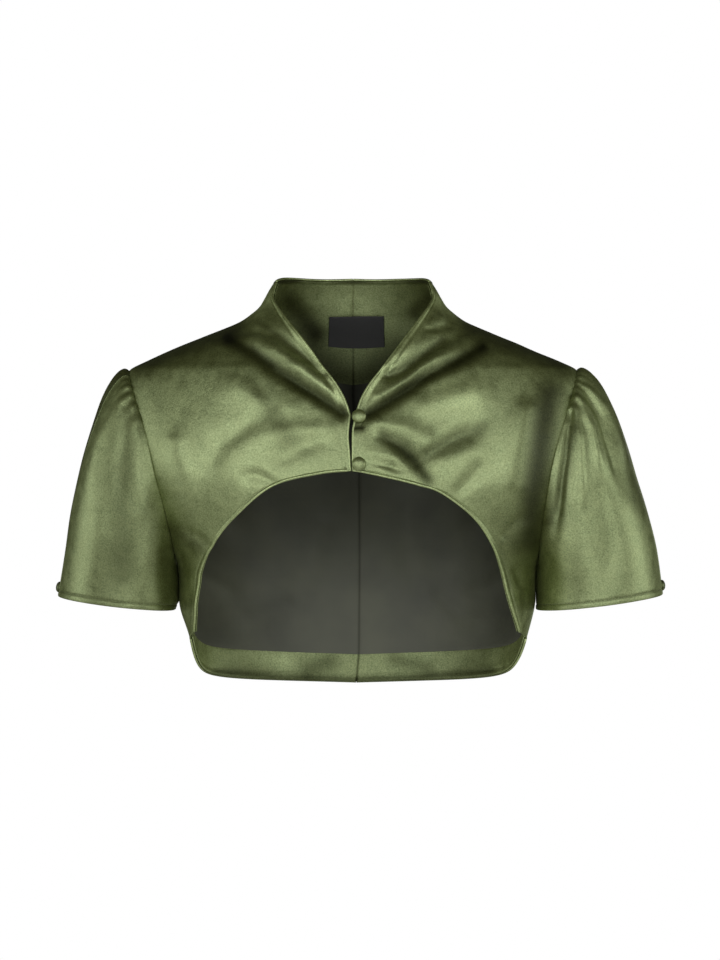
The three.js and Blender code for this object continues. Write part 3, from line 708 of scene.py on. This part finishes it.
def back_grid(side, rows, depth=0.0):
    straight = ROWS - SIDE_ROWS
    upper = np.minimum(rows, straight)
    a0, z0 = outer_edge(upper, BACK)
    stops = [COLLAR_TOP + BACK_COLLAR_RISE, NECK_FACING_MIDDLE_Z, UNDERARM_Z - 12]
    middle = np.interp(upper, [0, NECK_FACING_ROWS, straight], stops)
    a1 = angle_at_x(SEAM / 2, middle)
    width = smooth(BODY_RINGS, "half", mix(z0, middle, 0.5))[:, None] * 1.3
    wide = np.linspace(0, 1, BACK_COLUMNS - SEAM_COLUMNS.size, endpoint=False)[None]
    wide = wide * (1 - SEAM_BAND / width)
    share = np.hstack([wide, 1 - SEAM_COLUMNS / width])
    near_corner = bell(rows - COLLAR_ROWS, CORNER_ROWS)[:, None]
    level = share ** (1 + CORNER_LEVEL * near_corner)
    angle = share * a1[:, None] + (1 - share) ** (1 + CORNER_ANGLE * near_corner) * a0[:, None]
    z = mix(z0[:, None], middle[:, None], level)
    down = np.interp(rows - straight, np.arange(SIDE_ROWS + 1), SIDE_SHARES)[:, None]
    z = mix(z, smooth(HEM, "z", np.degrees(angle)), np.where(rows[:, None] > straight, down, 0))
    crown = COLLAR_CROWN * share / np.sqrt(share + CROWN_START) * (1 - share) ** 2
    z = z + crown * np.exp(-rows[:, None])
    points, normals = cloth(side, BACK, angle, z, depth, BACK_FOLDS[side])
    top = np.cumsum(np.concatenate([[0], np.linalg.norm(np.diff(points[:, -1], axis=0), axis=1)]))[:, None]
    from_top = top if rows[0] == 0 else top + 99
    from_hem = top[-1] - top if rows[-1] == ROWS else top + 99
    sign = 1 if depth == 0 else -1
    groove = -sign * CENTRE_GROOVE * bell((1 - share) * width, CENTRE_GROOVE_WIDTH)
    groove = groove * (1 - bell(np.minimum(from_top, from_hem), CENTRE_GROOVE_END))
    points[..., 0] += smooth(CENTRE_LEAN, "lean", z) * share**2
    roll = sign * (edge_roll(from_top) + edge_roll(from_hem)) + groove
    return points + normals * roll[..., None], normals


# Painted shade along the whole rolled hem, with painted highlights towards its two side ends
HEM_ROLL_PAINTED_LIGHT = each_row(
    PAINT_STROKE_COLUMNS,
    (-0.4, *ALL_OVER),
    (1.2, 11, [(-144, -264), (-137, -284)]),
    (1.2, 11, [(148, -264), (141, -284)]),
)
for side, hand in HANDS.items():
    points, like = back_grid(side, fine_rows())
    seams = {OUTER: CLOSED, INNER: CLOSED}
    sew_velvet(f"back_{hand}", points, like, VELVET_THICKNESS, seams, strokes=SHOULDER_PAINTED_LIGHT)
    for name, row, strokes in (("collar", 0, EDGE_PAINTED_HIGHLIGHT), ("hem", -1, HEM_ROLL_PAINTED_LIGHT)):
        roll_edge(f"{name}_{hand}", points[row], grid_normals(points, like)[row], strokes)

# Facings of fronts, neck and hem
# Bands of the same velvet inside the V, the round edge, the back neck and the back hem, turned in and
# pressed. They carry the edges and show through the neck and under the open front.
FACING_DEPTH = 1.8
FACING_THICKNESS = 0.9
FACING_WIDTH = 26
CENTRE_SEAM = [(0.1, 36), (0.2, -60), (5.2, -125), (5.6, -202), (5.0, -278), (2.8, -303)]
# Painted light on the hem facing: shade over its lower part and along its bottom edge, highlights near both
# sides, and a dark line along the centre back seam
HEM_PAINTED_LIGHT_AND_SEAM = each_row(
    PAINT_STROKE_COLUMNS,
    (-0.22, 60, [(-100, -285), (150, -285)]),
    (-0.35, 3.5, [(-118, -292), (-60, -299), (0, -302), (60, -299), (118, -292)]),
    (0.20, 8, [(-122, -274), (-60, -284)]),
    (0.80, 13, [(-135, -260), (-127, -282)]),
    (0.60, 13, [(139, -260), (131, -284)]),
    (-0.25, 8, [(-38, -293), (-20, -286)]),
    (-0.22, 7, [(36, -284), (64, -291)]),
    (-0.40, 0.9, CENTRE_SEAM),
)
NECK_ROLL = {"height": 4.0, "left_z": -2.0, "right_z": 8.0, "width": 16.0}
# Painted shadow inside the back neck: shade along the collar's top edge, a broad shadow below the label and
# smaller ones on both sides, and a dark line along the centre back seam
NECK_PAINTED_SHADE_AND_SEAM = each_row(
    PAINT_STROKE_COLUMNS,
    (-0.25, 0.7, CENTRE_SEAM[:2]),
    (-0.6, 1.8, [(-66, 36), (-40, 40), (0, 38.5), (40, 40), (66, 36)]),
    (-0.65, 22, [(-36, -29), (2, -50), (40, -29)]),
    (-0.60, 10, [(-53, 21), (-32, -4)]),
    (-0.45, 7, [(65, 25), (52, 12)]),
)


def neck_roll(side, points, normals):
    """The neck facing isn't pulled flat: it rolls forward below the collar."""
    z = points[..., 2]
    centre = NECK_ROLL[f"{HANDS[side]}_z"]
    between = (NECK_ROLL["left_z"] + NECK_ROLL["right_z"]) / 2
    centre = mix(between, centre, np.minimum(1, np.abs(points[..., 0]) / 40))
    height = NECK_ROLL["height"] * bell(z - centre, NECK_ROLL["width"])
    return points - normals * height[..., None]


for side, hand in HANDS.items():
    points, like = front_grid(side, fine_rows(), FACING_WIDTH, FACING_DEPTH)
    under = [f"cloth_front_{hand}"]
    sew_velvet(f"facing_front_{hand}", points, like, FACING_THICKNESS, {}, under=under)

    points, like = back_grid(side, fine_rows(0, NECK_FACING_ROWS), FACING_DEPTH)
    points = neck_roll(side, points, like)
    seams = {BOTTOM: CLOSED, OUTER: CLOSED, INNER: CLOSED}
    under = [f"cloth_back_{hand}"]
    sew_velvet(f"facing_neck_{hand}", points, like, FACING_THICKNESS, seams, under=under, strokes=NECK_PAINTED_SHADE_AND_SEAM)

    points, like = back_grid(side, fine_rows(ROWS - HEM_FACING_ROWS, ROWS), FACING_DEPTH)
    seams = {TOP: CLOSED, INNER: CLOSED}
    sew_velvet(f"facing_hem_{hand}", points, like, FACING_THICKNESS, seams, under=under, strokes=HEM_PAINTED_LIGHT_AND_SEAM)

# Back lining
# Dark grey green viscose twill lining between the neck facing and the hem facing, with its own centre back
# seam. It lies smooth, with a little slack above the hem.
LINING_THICKNESS = 0.7
LINING_DEPTH = FACING_DEPTH + 0.2


def viscose_lining():
    """Plain woven viscose lining: matt with a faint sheen, and smooth but for its fine weave."""
    material, tree, shader = new_material("viscose_lining_dark")
    place = add_node(tree, "ShaderNodeTexCoord").outputs["Object"]
    thread = 0.8  # mm, drawn about three times the real thread spacing so that it shows
    weft, warp = (
        add_node(
            tree,
            "ShaderNodeTexWave",
            {"bands_direction": direction},
            Vector=place,
            Scale=1000 / thread / 20,
            Distortion=0.4,
        ).outputs["Fac"]
        for direction in "ZX"
    )
    weave = add_node(tree, "ShaderNodeMath", {"operation": "MULTIPLY"}, at0=weft, at1=warp)
    cloud = add_node(tree, "ShaderNodeTexNoise", Vector=place, Scale=25.0, Detail=2.0)
    ramp = add_node(tree, "ShaderNodeValToRGB", Fac=cloud.outputs["Fac"])
    low, high = ramp.color_ramp.elements
    low.position, low.color = 0.3, linear("#393b2e")
    high.position, high.color = 0.7, linear("#454737")
    colour = ramp.outputs["Color"]
    # Painted shade: the stroke attribute scales the lining's colour and its specular level
    nap = add_node(tree, "ShaderNodeAttribute", {"attribute_name": "nap"}).outputs["Fac"]
    shaded_lining_colour = add_node(tree, "ShaderNodeVectorMath", {"operation": "SCALE"}, at0=colour, Scale=nap)
    tree.links.new(shaded_lining_colour.outputs["Vector"], shader.inputs["Base Color"])
    level = add_node(tree, "ShaderNodeMath", {"operation": "MULTIPLY"}, at0=nap, at1=0.5)
    tree.links.new(level.outputs[0], shader.inputs["Specular IOR Level"])
    bump = add_node(tree, "ShaderNodeBump", Strength=0.12, Distance=0.0002, Height=weave.outputs[0])
    tree.links.new(bump.outputs["Normal"], shader.inputs["Normal"])
    shader.inputs["Roughness"].default_value = 0.6
    shader.inputs["Sheen Weight"].default_value = 0.05
    return material


lining_cloth = viscose_lining()
# Painted shadow on the lining: deep below the back neck and lighter on the wearer's left side, and a dark
# line along the centre back seam
LINING_PAINTED_SHADE_AND_SEAM = each_row(
    PAINT_STROKE_COLUMNS,
    (-0.45, 0.9, CENTRE_SEAM),
    (-0.75, 26, [(0, -50), (0, -88)]),
    (-0.30, 30, [(120, -160), (132, -230)]),
)
for side, hand in HANDS.items():
    rows = fine_rows(NECK_FACING_ROWS, ROWS - HEM_FACING_ROWS)
    points, like = back_grid(side, rows, LINING_DEPTH)
    seams = {TOP: CLOSED, BOTTOM: CLOSED, INNER: CLOSED}
    under = [f"cloth_back_{hand}"]
    sew(
        *(f"cloth_lining_{hand}", f"lining_{hand}", points, like, LINING_THICKNESS, seams),
        *(lining_cloth, "lining"),
        under=under,
        strokes=LINING_PAINTED_SHADE_AND_SEAM,
    )

# Sleeves
# Short puff sleeves, each of a front and a back half joined over the arm, gathered into the armhole, and
# slit for a few centimetres above the hem. The hem is turned up and stitched.
SLEEVE_PATH = table(
    "angle out swell drop turn_in turn_up",
    (0, 28, 0, -4, 15, 74),
    (45, 25, 8, 8, 9, 76),
    (90, 14, 9, 20, 4, 46),
    (135, 6, 4, 16, 2, 24),
    (180, 1, 0, 10, 0.5, 12),
)
SLEEVE_HEMS = {
    LEFT: dict(outer=256.5, inner=149.4, outer_z=-225.5, inner_z=-238.5, depth=60, sag=2.4, bow=9),
    RIGHT: dict(outer=251.5, inner=149.8, outer_z=-227, inner_z=-238.5, depth=60, sag=2.5, bow=0),
}
HEM_SAG = 2.5
OVERARM_AT_CAP, OVERARM_AT_HEM = -22, -9
SLIT_START, SLIT_GAP = 0.74, 1.6
HEM_STITCH = 4.2
HEM_STITCH_ROW = -8
UNDERARM_ANGLE = 179.7
ROUGH_ROWS = 30
HEM_TUCK = {LEFT: 0.0, RIGHT: 3.4}
UNDERARM_SPREAD = 34  # degrees
SAG_AT, SAG_SPREAD, TUCK_SPREAD = 0.22, 0.4, 0.14
HEM_ROWS = np.array([6.5, 5.6, 5.0, 4.6, HEM_STITCH, 3.8, 3.3, 2.6, 1.8, 1.0, 0.4, 0.0])
HEM_BAND = 7.2
SLEEVE_ROWS, SLEEVE_COLUMNS = 84, 120
# Gathers of the cap: place round the armhole in degrees, half width in degrees, height, and the share of the
# sleeve's length that each runs down
GATHER_COLUMNS = "angle width height reach"
GATHERS = {
    LEFT: table(
        GATHER_COLUMNS,
        *[(-62, 3.0, 0.8, 0.3), (-52, 2.4, 1.6, 0.16), (-44, 2.2, 2.4, 0.22), (-37, 2.0, 2.0, 0.12)],
        *[(-30, 2.2, 2.6, 0.3), (-23, 2.0, 2.0, 0.13), (-16, 2.2, 2.5, 0.2), (-8, 2.2, 2.1, 0.34)],
        *[(1, 2.4, 2.4, 0.16), (10, 2.4, 2.0, 0.28), (20, 2.6, 2.5, 0.18), (30, 2.6, 2.0, 0.3)],
        *[(41, 2.8, 2.3, 0.16), (53, 3.0, 1.5, 0.24)],
    ),
    RIGHT: table(
        GATHER_COLUMNS,
        *[(-60, 3.0, 0.8, 0.2), (-51, 2.4, 1.8, 0.13), (-43, 2.2, 2.2, 0.18), (-35, 2.0, 2.6, 0.12)],
        *[(-28, 2.2, 2.0, 0.2), (-21, 2.0, 2.5, 0.13), (-13, 2.4, 2.0, 0.26), (-4, 2.4, 2.4, 0.14)],
        *[(6, 2.4, 2.0, 0.3), (16, 2.6, 2.4, 0.18), (27, 2.6, 2.1, 0.28), (39, 2.8, 2.3, 0.17)],
        *[(52, 3.0, 1.5, 0.22)],
    ),
}
# Folds that run out of the gathers, over the front and the back of each sleeve, in x and z
SLEEVE_FOLDS = {
    (LEFT, FRONT): each_row(
        FOLD_COLUMNS,
        (2.6, 3.2, [(184, -64), (187, -97), (189, -130), (188, -156)]),
        (-3.4, 4.2, [(180, -74), (176, -112), (167, -160), (163, -190)]),
        (2.6, 3.6, [(186, -60), (198, -88), (207, -130)]),
        (-3.4, 5.0, [(190, -50), (206, -78), (218, -116), (226, -150)]),
        (2.4, 5.0, [(198, -46), (218, -80), (232, -124)]),
        (-1.6, 9.0, [(204, -140), (212, -180), (214, -222)]),
        (1.6, 10.0, [(186, -150), (192, -190), (196, -226)]),
    ),
    (RIGHT, FRONT): each_row(
        FOLD_COLUMNS,
        (-1.6, 7.0, [(186, -72), (191, -110), (193, -160)]),
        (1.4, 7.0, [(192, -66), (212, -100), (222, -150)]),
        (-1.0, 4.0, [(196, -50), (214, -76), (228, -112)]),
        (1.0, 6.0, [(176, -90), (176, -130), (168, -170)]),
        (-1.2, 10.0, [(184, -170), (178, -200), (176, -228)]),
        (1.2, 10.0, [(212, -160), (218, -196), (222, -224)]),
    ),
    (LEFT, BACK): each_row(
        FOLD_COLUMNS,
        (2.6, 3.8, [(186, -66), (196, -92), (202, -130)]),
        (-3.2, 4.8, [(184, -76), (187, -110), (182, -150)]),
        (-3.0, 5.0, [(194, -52), (212, -84), (222, -130)]),
        (1.8, 9.0, [(192, -150), (198, -190), (200, -226)]),
    ),
    (RIGHT, BACK): each_row(
        FOLD_COLUMNS,
        (2.8, 3.6, [(188, -62), (200, -92), (209, -126)]),
        (-3.2, 4.6, [(184, -80), (190, -112), (190, -150)]),
        (-2.6, 5.2, [(196, -54), (214, -82), (226, -120)]),
        (-1.6, 9.0, [(204, -150), (206, -190), (208, -224)]),
    ),
}
# Long soft folds of the sleeves: place round the arm at top and hem, half width in degrees, height
DRAPE_COLUMNS = "top hem width height"
SLEEVE_DRAPE = {
    LEFT: table(
        DRAPE_COLUMNS,
        *[(-100, -84, 14, -1.8), (-60, -50, 16, 1.4), (-150, -128, 12, -1.6)],
        *[(70, 60, 18, -1.8), (130, 110, 16, 1.5)],
    ),
    RIGHT: table(
        DRAPE_COLUMNS,
        *[(-110, -92, 13, -2.0), (-54, -44, 16, 1.5), (-146, -132, 12, -1.4)],
        *[(64, 70, 18, -1.8), (126, 112, 16, 1.5)],
    ),
}


def armhole_point(angle):
    z = armhole_level(np.abs(angle) / 180)
    at = angle_at_x(smooth(ARMHOLE, "x", z), z)
    return np.where((angle < 0)[..., None], body(at, z, FRONT), body(at, z, BACK))


def sleeve_start(angle):
    p = armhole_point(angle)
    round_it = armhole_point(np.minimum(angle + 3, 180)) - armhole_point(np.maximum(angle - 3, -180))
    z = p[..., 2]
    at = np.maximum(0.02, angle_at_x(smooth(ARMHOLE, "x", z), z))
    normal = np.where((angle < 0)[..., None], body_normal(at, z, FRONT), body_normal(at, z, BACK))
    past = unit(np.cross(round_it, normal))
    low = ((1 - np.cos(np.radians(angle))) / 2) ** 2
    return p + past * (SEAM + 0.2) + normal * mix(0.5, 0.8, low)[..., None]


def sleeve_form(side, angle, along):
    """Points of the sleeve's smooth form: along runs from the armhole (0) to the hem (1)."""
    hem, turn = SLEEVE_HEMS[side], np.abs(angle)
    value = {name: smooth(SLEEVE_PATH, name, turn) for name in SLEEVE_PATH}
    start = sleeve_start(angle)
    inward = (1 - np.cos(np.radians(angle))) / 2
    end = np.stack(
        [
            mix(hem["outer"], hem["inner"], inward),
            hem["depth"] * np.sin(np.radians(angle)),
            mix(hem["outer_z"], hem["inner_z"], inward) - HEM_SAG * np.sin(np.radians(turn)),
        ],
        axis=-1,
    )
    leave = start + np.stack([value["out"], np.sign(angle) * value["swell"], -value["drop"]], axis=-1)
    bow = hem["bow"] * (1 - inward) - value["turn_in"]
    arrive = end + np.stack([bow, 0 * turn, value["turn_up"]], axis=-1)
    t = along[..., None]
    return start * (1 - t) ** 3 + leave * 3 * t * (1 - t) ** 2 + arrive * 3 * t * t * (1 - t) + end * t**3


def sleeve_normal(side, angle, along):
    near = sleeve_form(side, angle + 1.5, along) - sleeve_form(side, angle - 1.5, along)
    after, before = np.minimum(along + 0.02, 1), np.maximum(along - 0.02, 0)
    down = sleeve_form(side, angle, after) - sleeve_form(side, angle, before)
    return unit(np.cross(down, near))


def gathers(side, angle, along):
    height = np.zeros_like(angle)
    rise = np.minimum(1, 0.35 + along / 0.05)
    for at, width, tall, reach in zip(*GATHERS[side].values()):
        spread = width * (1 + 0.7 * along / reach)
        height += tall * rise * bell(angle - at, spread) * bell(along, reach)
    for top, hem, width, tall in zip(*SLEEVE_DRAPE[side].values()):
        at = mix(top, hem, along)
        height += tall * np.sin(np.pi * np.clip(along, 0, 1) ** 0.8) * bell(angle - at, width)
    inside = bell(180 - np.abs(angle), UNDERARM_SPREAD)
    sag = SLEEVE_HEMS[side]["sag"] * bell(along - SAG_AT, SAG_SPREAD)
    tuck = HEM_TUCK[side] * bell(along - 1, TUCK_SPREAD)
    return height + inside * (sag - tuck) * np.minimum(1, along / 0.06)


def sleeve_grid(side, face):
    """Points of half a sleeve, from the overarm to the underarm seam, with close rows at the hem."""
    share = np.linspace(0, 1, SLEEVE_COLUMNS)[None]
    step = np.linspace(0, 1, SLEEVE_ROWS)[:, None]
    rough_angle = mix(OVERARM_AT_HEM, face * UNDERARM_ANGLE, share)
    rough_along = np.repeat(np.linspace(0, 1, ROUGH_ROWS)[:, None], SLEEVE_COLUMNS, axis=1)
    path = sleeve_form(side, np.repeat(rough_angle, ROUGH_ROWS, axis=0), rough_along)
    length = lengths(path)[1][None]
    upper = step[: -HEM_ROWS.size] / step[-HEM_ROWS.size] * (1 - HEM_BAND / length)
    along = np.concatenate([upper, 1 - HEM_ROWS[:, None] / length])
    edge = 1 - along
    opening = np.where(along > SLIT_START, SLIT_GAP * np.minimum(1, (along - SLIT_START) / 0.1), 0)
    seam = mix(OVERARM_AT_CAP, OVERARM_AT_HEM, along**2) + face * (0.25 + opening / 2)
    angle = mix(seam, face * UNDERARM_ANGLE, share)
    form = sleeve_form(side, angle, along)
    normal = sleeve_normal(side, angle, along)
    from_hem = edge * length
    stitched = -0.5 * bell(from_hem - HEM_STITCH, 0.7) + 0.25 * bell(from_hem - 1.6, 1.4)
    height = gathers(side, angle, along) + stitched + soft_waves(form * [side, 1, 1] + 40)
    towards = np.clip(face * normal[..., 1] * 3, 0, 1)
    towards = towards * np.minimum(1, 0.3 + along / 0.1) * np.minimum(1, edge / 0.06)
    height = height + towards * drag_folds(SLEEVE_FOLDS[side, face], form[..., 0], form[..., 2])
    return placed(side, form + normal * height[..., None]), normal * [side, 1, 1]


# Painted light on the sleeves. On the front halves: shade along the gathered folds and low on both sleeves,
# highlights high on both caps and low on the inside of the left sleeve. On the back halves: shade behind the
# overarm seam of the right sleeve.
SLEEVE_PAINTED_LIGHT = {}
SLEEVE_PAINTED_LIGHT[FRONT] = each_row(
    PAINT_STROKE_COLUMNS,
    (-0.18, 9, [(-184, -76), (-192, -120), (-190, -210)]),
    (-0.14, 26, [(-188, -130), (-186, -225)]),
    (-0.25, 8, [(-158, -190), (-156, -236)]),
    (0.15, 12, [(-200, -60), (-216, -100)]),
    (0.10, 12, [(190, -56), (206, -90)]),
    (-0.35, 5, [(182, -88), (174, -130), (163, -165)]),
    (0.45, 9, [(174, -178), (172, -230)]),
    (-0.20, 16, [(-205, -195), (-208, -236)]),
    (-0.25, 8, [(222, -90), (238, -150)]),
)
SLEEVE_PAINTED_LIGHT[BACK] = each_row(PAINT_STROKE_COLUMNS, (-0.35, 12, [(-194, -42), (-228, -100), (-246, -190)]))
# Spun polyester sewing thread: fine and even, with a soft low gleam
thread, _, thread_shader = new_material("polyester_thread_olive")
thread_shader.inputs["Base Color"].default_value = linear("#4e5632")
thread_shader.inputs["Roughness"].default_value = 0.6
for side, hand in HANDS.items():
    for face, half in ((FRONT, "front"), (BACK, "back")):
        points, like = sleeve_grid(side, face)
        seams = {TOP: CLOSED, OUTER: GROOVE, INNER: CLOSED}
        how = {"held": "gathered", "under": [f"cloth_front_{hand}"], "strokes": SLEEVE_PAINTED_LIGHT[face]}
        sew_velvet(f"sleeve_{hand}_{half}", points, like, VELVET_THICKNESS, seams, **how)
        row = points[HEM_STITCH_ROW], grid_normals(points, like)[HEM_STITCH_ROW]
        seam = stitches(f"hem_stitches_{hand}_{half}", *row)
        seam.data.materials.append(thread)
        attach(seam, "root")

# Covered buttons
# Small domed metal moulds covered in the velvet, pulled tight to the back and sewn on by a thread shank: two
# at the edge of the left front, and one at the hem of each sleeve.
BUTTON_RADIUS = 5.9
SLEEVE_BUTTON_RADIUS = 4.6
BUTTON_STANDS, SLEEVE_BUTTON_STANDS = 1.5, -0.7
SHANK_RADIUS = 1.5
DOME_HEIGHT = 0.78  # share of the radius
PLEATS, PLEAT_DEPTH = 10, 0.012
BUTTON_SIDES = 40
BUTTON_PLACES = {"button_front_upper": (5.0, -78.5), "button_front_lower": (5.0, -117.5)}
SLEEVE_BUTTON = {"angle": -3.0, "along": 0.962}
# Painted shade that dims the two sleeve buttons
BUTTON_PAINTED_SHADE = each_row(
    PAINT_STROKE_COLUMNS,
    (-0.35, 40, [(-260, -220), (-250, -220)]),
    (-0.35, 40, [(250, -220), (260, -220)]),
)


def covered_button(node, place, axis, stands, size):
    """A dome with the cloth's small pleats round its rim, and a shank down to the cloth below it."""
    shank = max(0.1, stands - SEAM)
    turn = np.linspace(0, np.pi / 2, 14)[:-1]
    profile = [(0.02, -shank), (SHANK_RADIUS, -shank), (SHANK_RADIUS, -0.05)]
    profile += [(size * 0.82, 0.0), (size * 0.95, 0.25)]
    profile += [(size * math.cos(a), 0.8 + (DOME_HEIGHT * size - 0.8) * math.sin(a)) for a in turn]
    profile += [(0.02, DOME_HEIGHT * size)]
    radius, height = np.array(profile).T
    around = np.arange(BUTTON_SIDES) * 2 * np.pi / BUTTON_SIDES
    pleat = 1 + PLEAT_DEPTH * np.cos(around * PLEATS)[None] * bell(height[:, None] - 0.5, 1)
    side_way = unit(np.cross(axis, [0, 0, 1]))
    up_way = np.cross(side_way, axis)
    ring = side_way * np.cos(around)[:, None] + up_way * np.sin(around)[:, None]
    out = ring[None] * (radius[:, None] * pleat)[..., None]
    button = tube(f"covered_{node}", place + axis * (height + stands)[:, None, None] + out)
    finish_piece(button, velvet, BUTTON_PAINTED_SHADE)
    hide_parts(node)


for node, (x, z) in BUTTON_PLACES.items():
    angle = angle_at_x(x, z)
    place, axis = cloth(LEFT, FRONT, np.array([angle]), np.array([float(z)]), 0.0, FRONT_FOLDS[LEFT])
    covered_button(node, place[0], unit(axis[0]), BUTTON_STANDS, BUTTON_RADIUS)
for side, hand in HANDS.items():
    angle, along = np.array([SLEEVE_BUTTON["angle"]]), np.array([SLEEVE_BUTTON["along"]])
    form = sleeve_form(side, angle, along)
    axis = sleeve_normal(side, angle, along)[0] * [side, 1, 1]
    near_by = sleeve_grid(side, BACK)[0].reshape(-1, 3)
    place = near_by[np.argmin(np.linalg.norm(near_by - placed(side, form), axis=-1))]
    covered_button(f"button_sleeve_{hand}", place, axis, SLEEVE_BUTTON_STANDS, SLEEVE_BUTTON_RADIUS)

# Neck label
# A small bare woven label in black satin, tacked by its top corners inside the back neck so that its lower
# edge hangs a little away.
LABEL = {"left": -21.5, "right": 27.5, "top": 12.2, "bottom": -13.8, "bow": 1.2, "hang": 1.2}
LABEL_DEPTH = 3.9
LABEL_THICKNESS = 0.5


def label_satin():
    """Black polyester label satin: dense weft floats give it a soft low gleam."""
    material, tree, shader = new_material("label_satin_black")
    float_length = 0.7  # mm, drawn twice as coarse as the real floats
    place = add_node(tree, "ShaderNodeTexCoord").outputs["Object"]
    floats = add_node(tree, "ShaderNodeTexNoise", Vector=place, Scale=1000 / float_length, Detail=2.0)
    ramp = add_node(tree, "ShaderNodeValToRGB", Fac=floats.outputs["Fac"])
    low, high = ramp.color_ramp.elements
    low.position, low.color = 0.35, linear("#0a0b0b")
    high.position, high.color = 0.75, linear("#141514")
    tree.links.new(ramp.outputs["Color"], shader.inputs["Base Color"])
    bump = add_node(tree, "ShaderNodeBump", Strength=0.2, Distance=0.0002, Height=floats.outputs["Fac"])
    tree.links.new(bump.outputs["Normal"], shader.inputs["Normal"])
    shader.inputs["Roughness"].default_value = 0.5
    return material


across = np.linspace(0, 1, 48)[None]
down = np.linspace(0, 1, 28)[:, None]
label_x = mix(LABEL["left"], LABEL["right"], across) + 0 * down
label_z = mix(LABEL["top"], LABEL["bottom"] - LABEL["bow"] * np.sin(np.pi * across), down)
halves = []
for side in (LEFT, RIGHT):
    angle = angle_at_x(np.abs(label_x), label_z)
    points, normals = cloth(side, BACK, angle, label_z, LABEL_DEPTH, BACK_FOLDS[side])
    halves.append((neck_roll(side, points, normals), normals))
points = np.where((label_x > 0)[..., None], halves[0][0], halves[1][0])
like = np.where((label_x > 0)[..., None], halves[0][1], halves[1][1])
points = points - like * (LABEL["hang"] * down**2 * np.sin(np.pi * across))[..., None]
sew(
    *("neck_label", "label", points, like, LABEL_THICKNESS, {}, label_satin(), "label"),
    held="hung",
    under=["cloth_facing_neck_left"],
)

# Floor, light and camera
# A pale floor far below, as under someone who wears the jacket. Two broad soft boxes stand beside the camera
# and little comes from above, so the shoulders go dark. The camera is level with the jacket, far away on a
# long lens.
FLOOR_Z = -1.35
CAMERA_DISTANCE = 4.2
MM_PER_PIXEL = 0.84
IMAGE_HEIGHT = 960
VIEW_CENTRE = (0.0059, 0.0, -0.1302)
LIGHT_FROM_ALL_ROUND = 0.03

bpy.ops.mesh.primitive_plane_add(size=6, location=(0, 1.0, FLOOR_Z))
floor = bpy.context.object
floor.name = "floor"
floor_material, _, floor_shader = new_material("matt_white_floor")
floor_shader.inputs["Base Color"].default_value = linear("#f4f4f2")
floor_shader.inputs["Roughness"].default_value = 0.9
floor.data.materials.append(floor_material)

SOFT_BOXES = [
    {"name": "front_left", "at": (-1.3, -2.9, 0.62), "size": (1.9, 1.5), "power": 40},
    {"name": "front_right", "at": (1.3, -2.9, 0.62), "size": (1.9, 1.5), "power": 37},
    {"name": "side_left", "at": (-3.3, -0.3, 0.1), "size": (2.6, 1.6), "power": 34},
    {"name": "side_right", "at": (3.3, -0.3, 0.1), "size": (2.6, 1.6), "power": 40},
    {"name": "front_low", "at": (0.0, -3.0, -1.0), "size": (1.8, 0.7), "power": 14},
    {"name": "back_fill", "at": (0.4, 3.0, -0.3), "size": (2.2, 1.2), "power": 12},
]
for box in SOFT_BOXES:
    light = bpy.data.lights.new(box["name"], "AREA")
    light.shape = "RECTANGLE"
    light.size, light.size_y = box["size"]
    light.energy = box["power"]
    lamp = bpy.data.objects.new(box["name"], light)
    lamp.location = box["at"]
    towards = np.array(VIEW_CENTRE) - np.array(box["at"])
    tilt = math.acos(-towards[2] / np.linalg.norm(towards))
    lamp.rotation_euler = (tilt, 0, math.atan2(-towards[0], towards[1]))
    bpy.context.scene.collection.objects.link(lamp)

world = bpy.data.worlds.new("white_studio")
bpy.context.scene.world = world
world.use_nodes = True
studio = world.node_tree
paths = add_node(studio, "ShaderNodeLightPath")
seen = add_node(studio, "ShaderNodeBackground", Color=(1, 1, 1, 1), Strength=1.0)
lit = add_node(studio, "ShaderNodeBackground", Color=(1, 1, 1, 1), Strength=LIGHT_FROM_ALL_ROUND)
seen_by = paths.outputs["Is Camera Ray"]
both = add_node(studio, "ShaderNodeMixShader", at0=seen_by, at1=lit.outputs[0], at2=seen.outputs[0])
studio.links.new(both.outputs[0], studio.nodes["World Output"].inputs["Surface"])

lens = bpy.data.cameras.new("long_lens")
camera = bpy.data.objects.new("camera", lens)
camera.location = (VIEW_CENTRE[0], -CAMERA_DISTANCE, VIEW_CENTRE[2])
camera.rotation_euler = (math.pi / 2, 0, 0)
lens.sensor_fit = "VERTICAL"
lens.sensor_height = 24
lens.lens = lens.sensor_height * CAMERA_DISTANCE / (IMAGE_HEIGHT * MM_PER_PIXEL * MM)
lens.clip_end = 50
bpy.context.scene.collection.objects.link(camera)
bpy.context.scene.camera = camera
bpy.context.scene.view_settings.view_transform = "Standard"
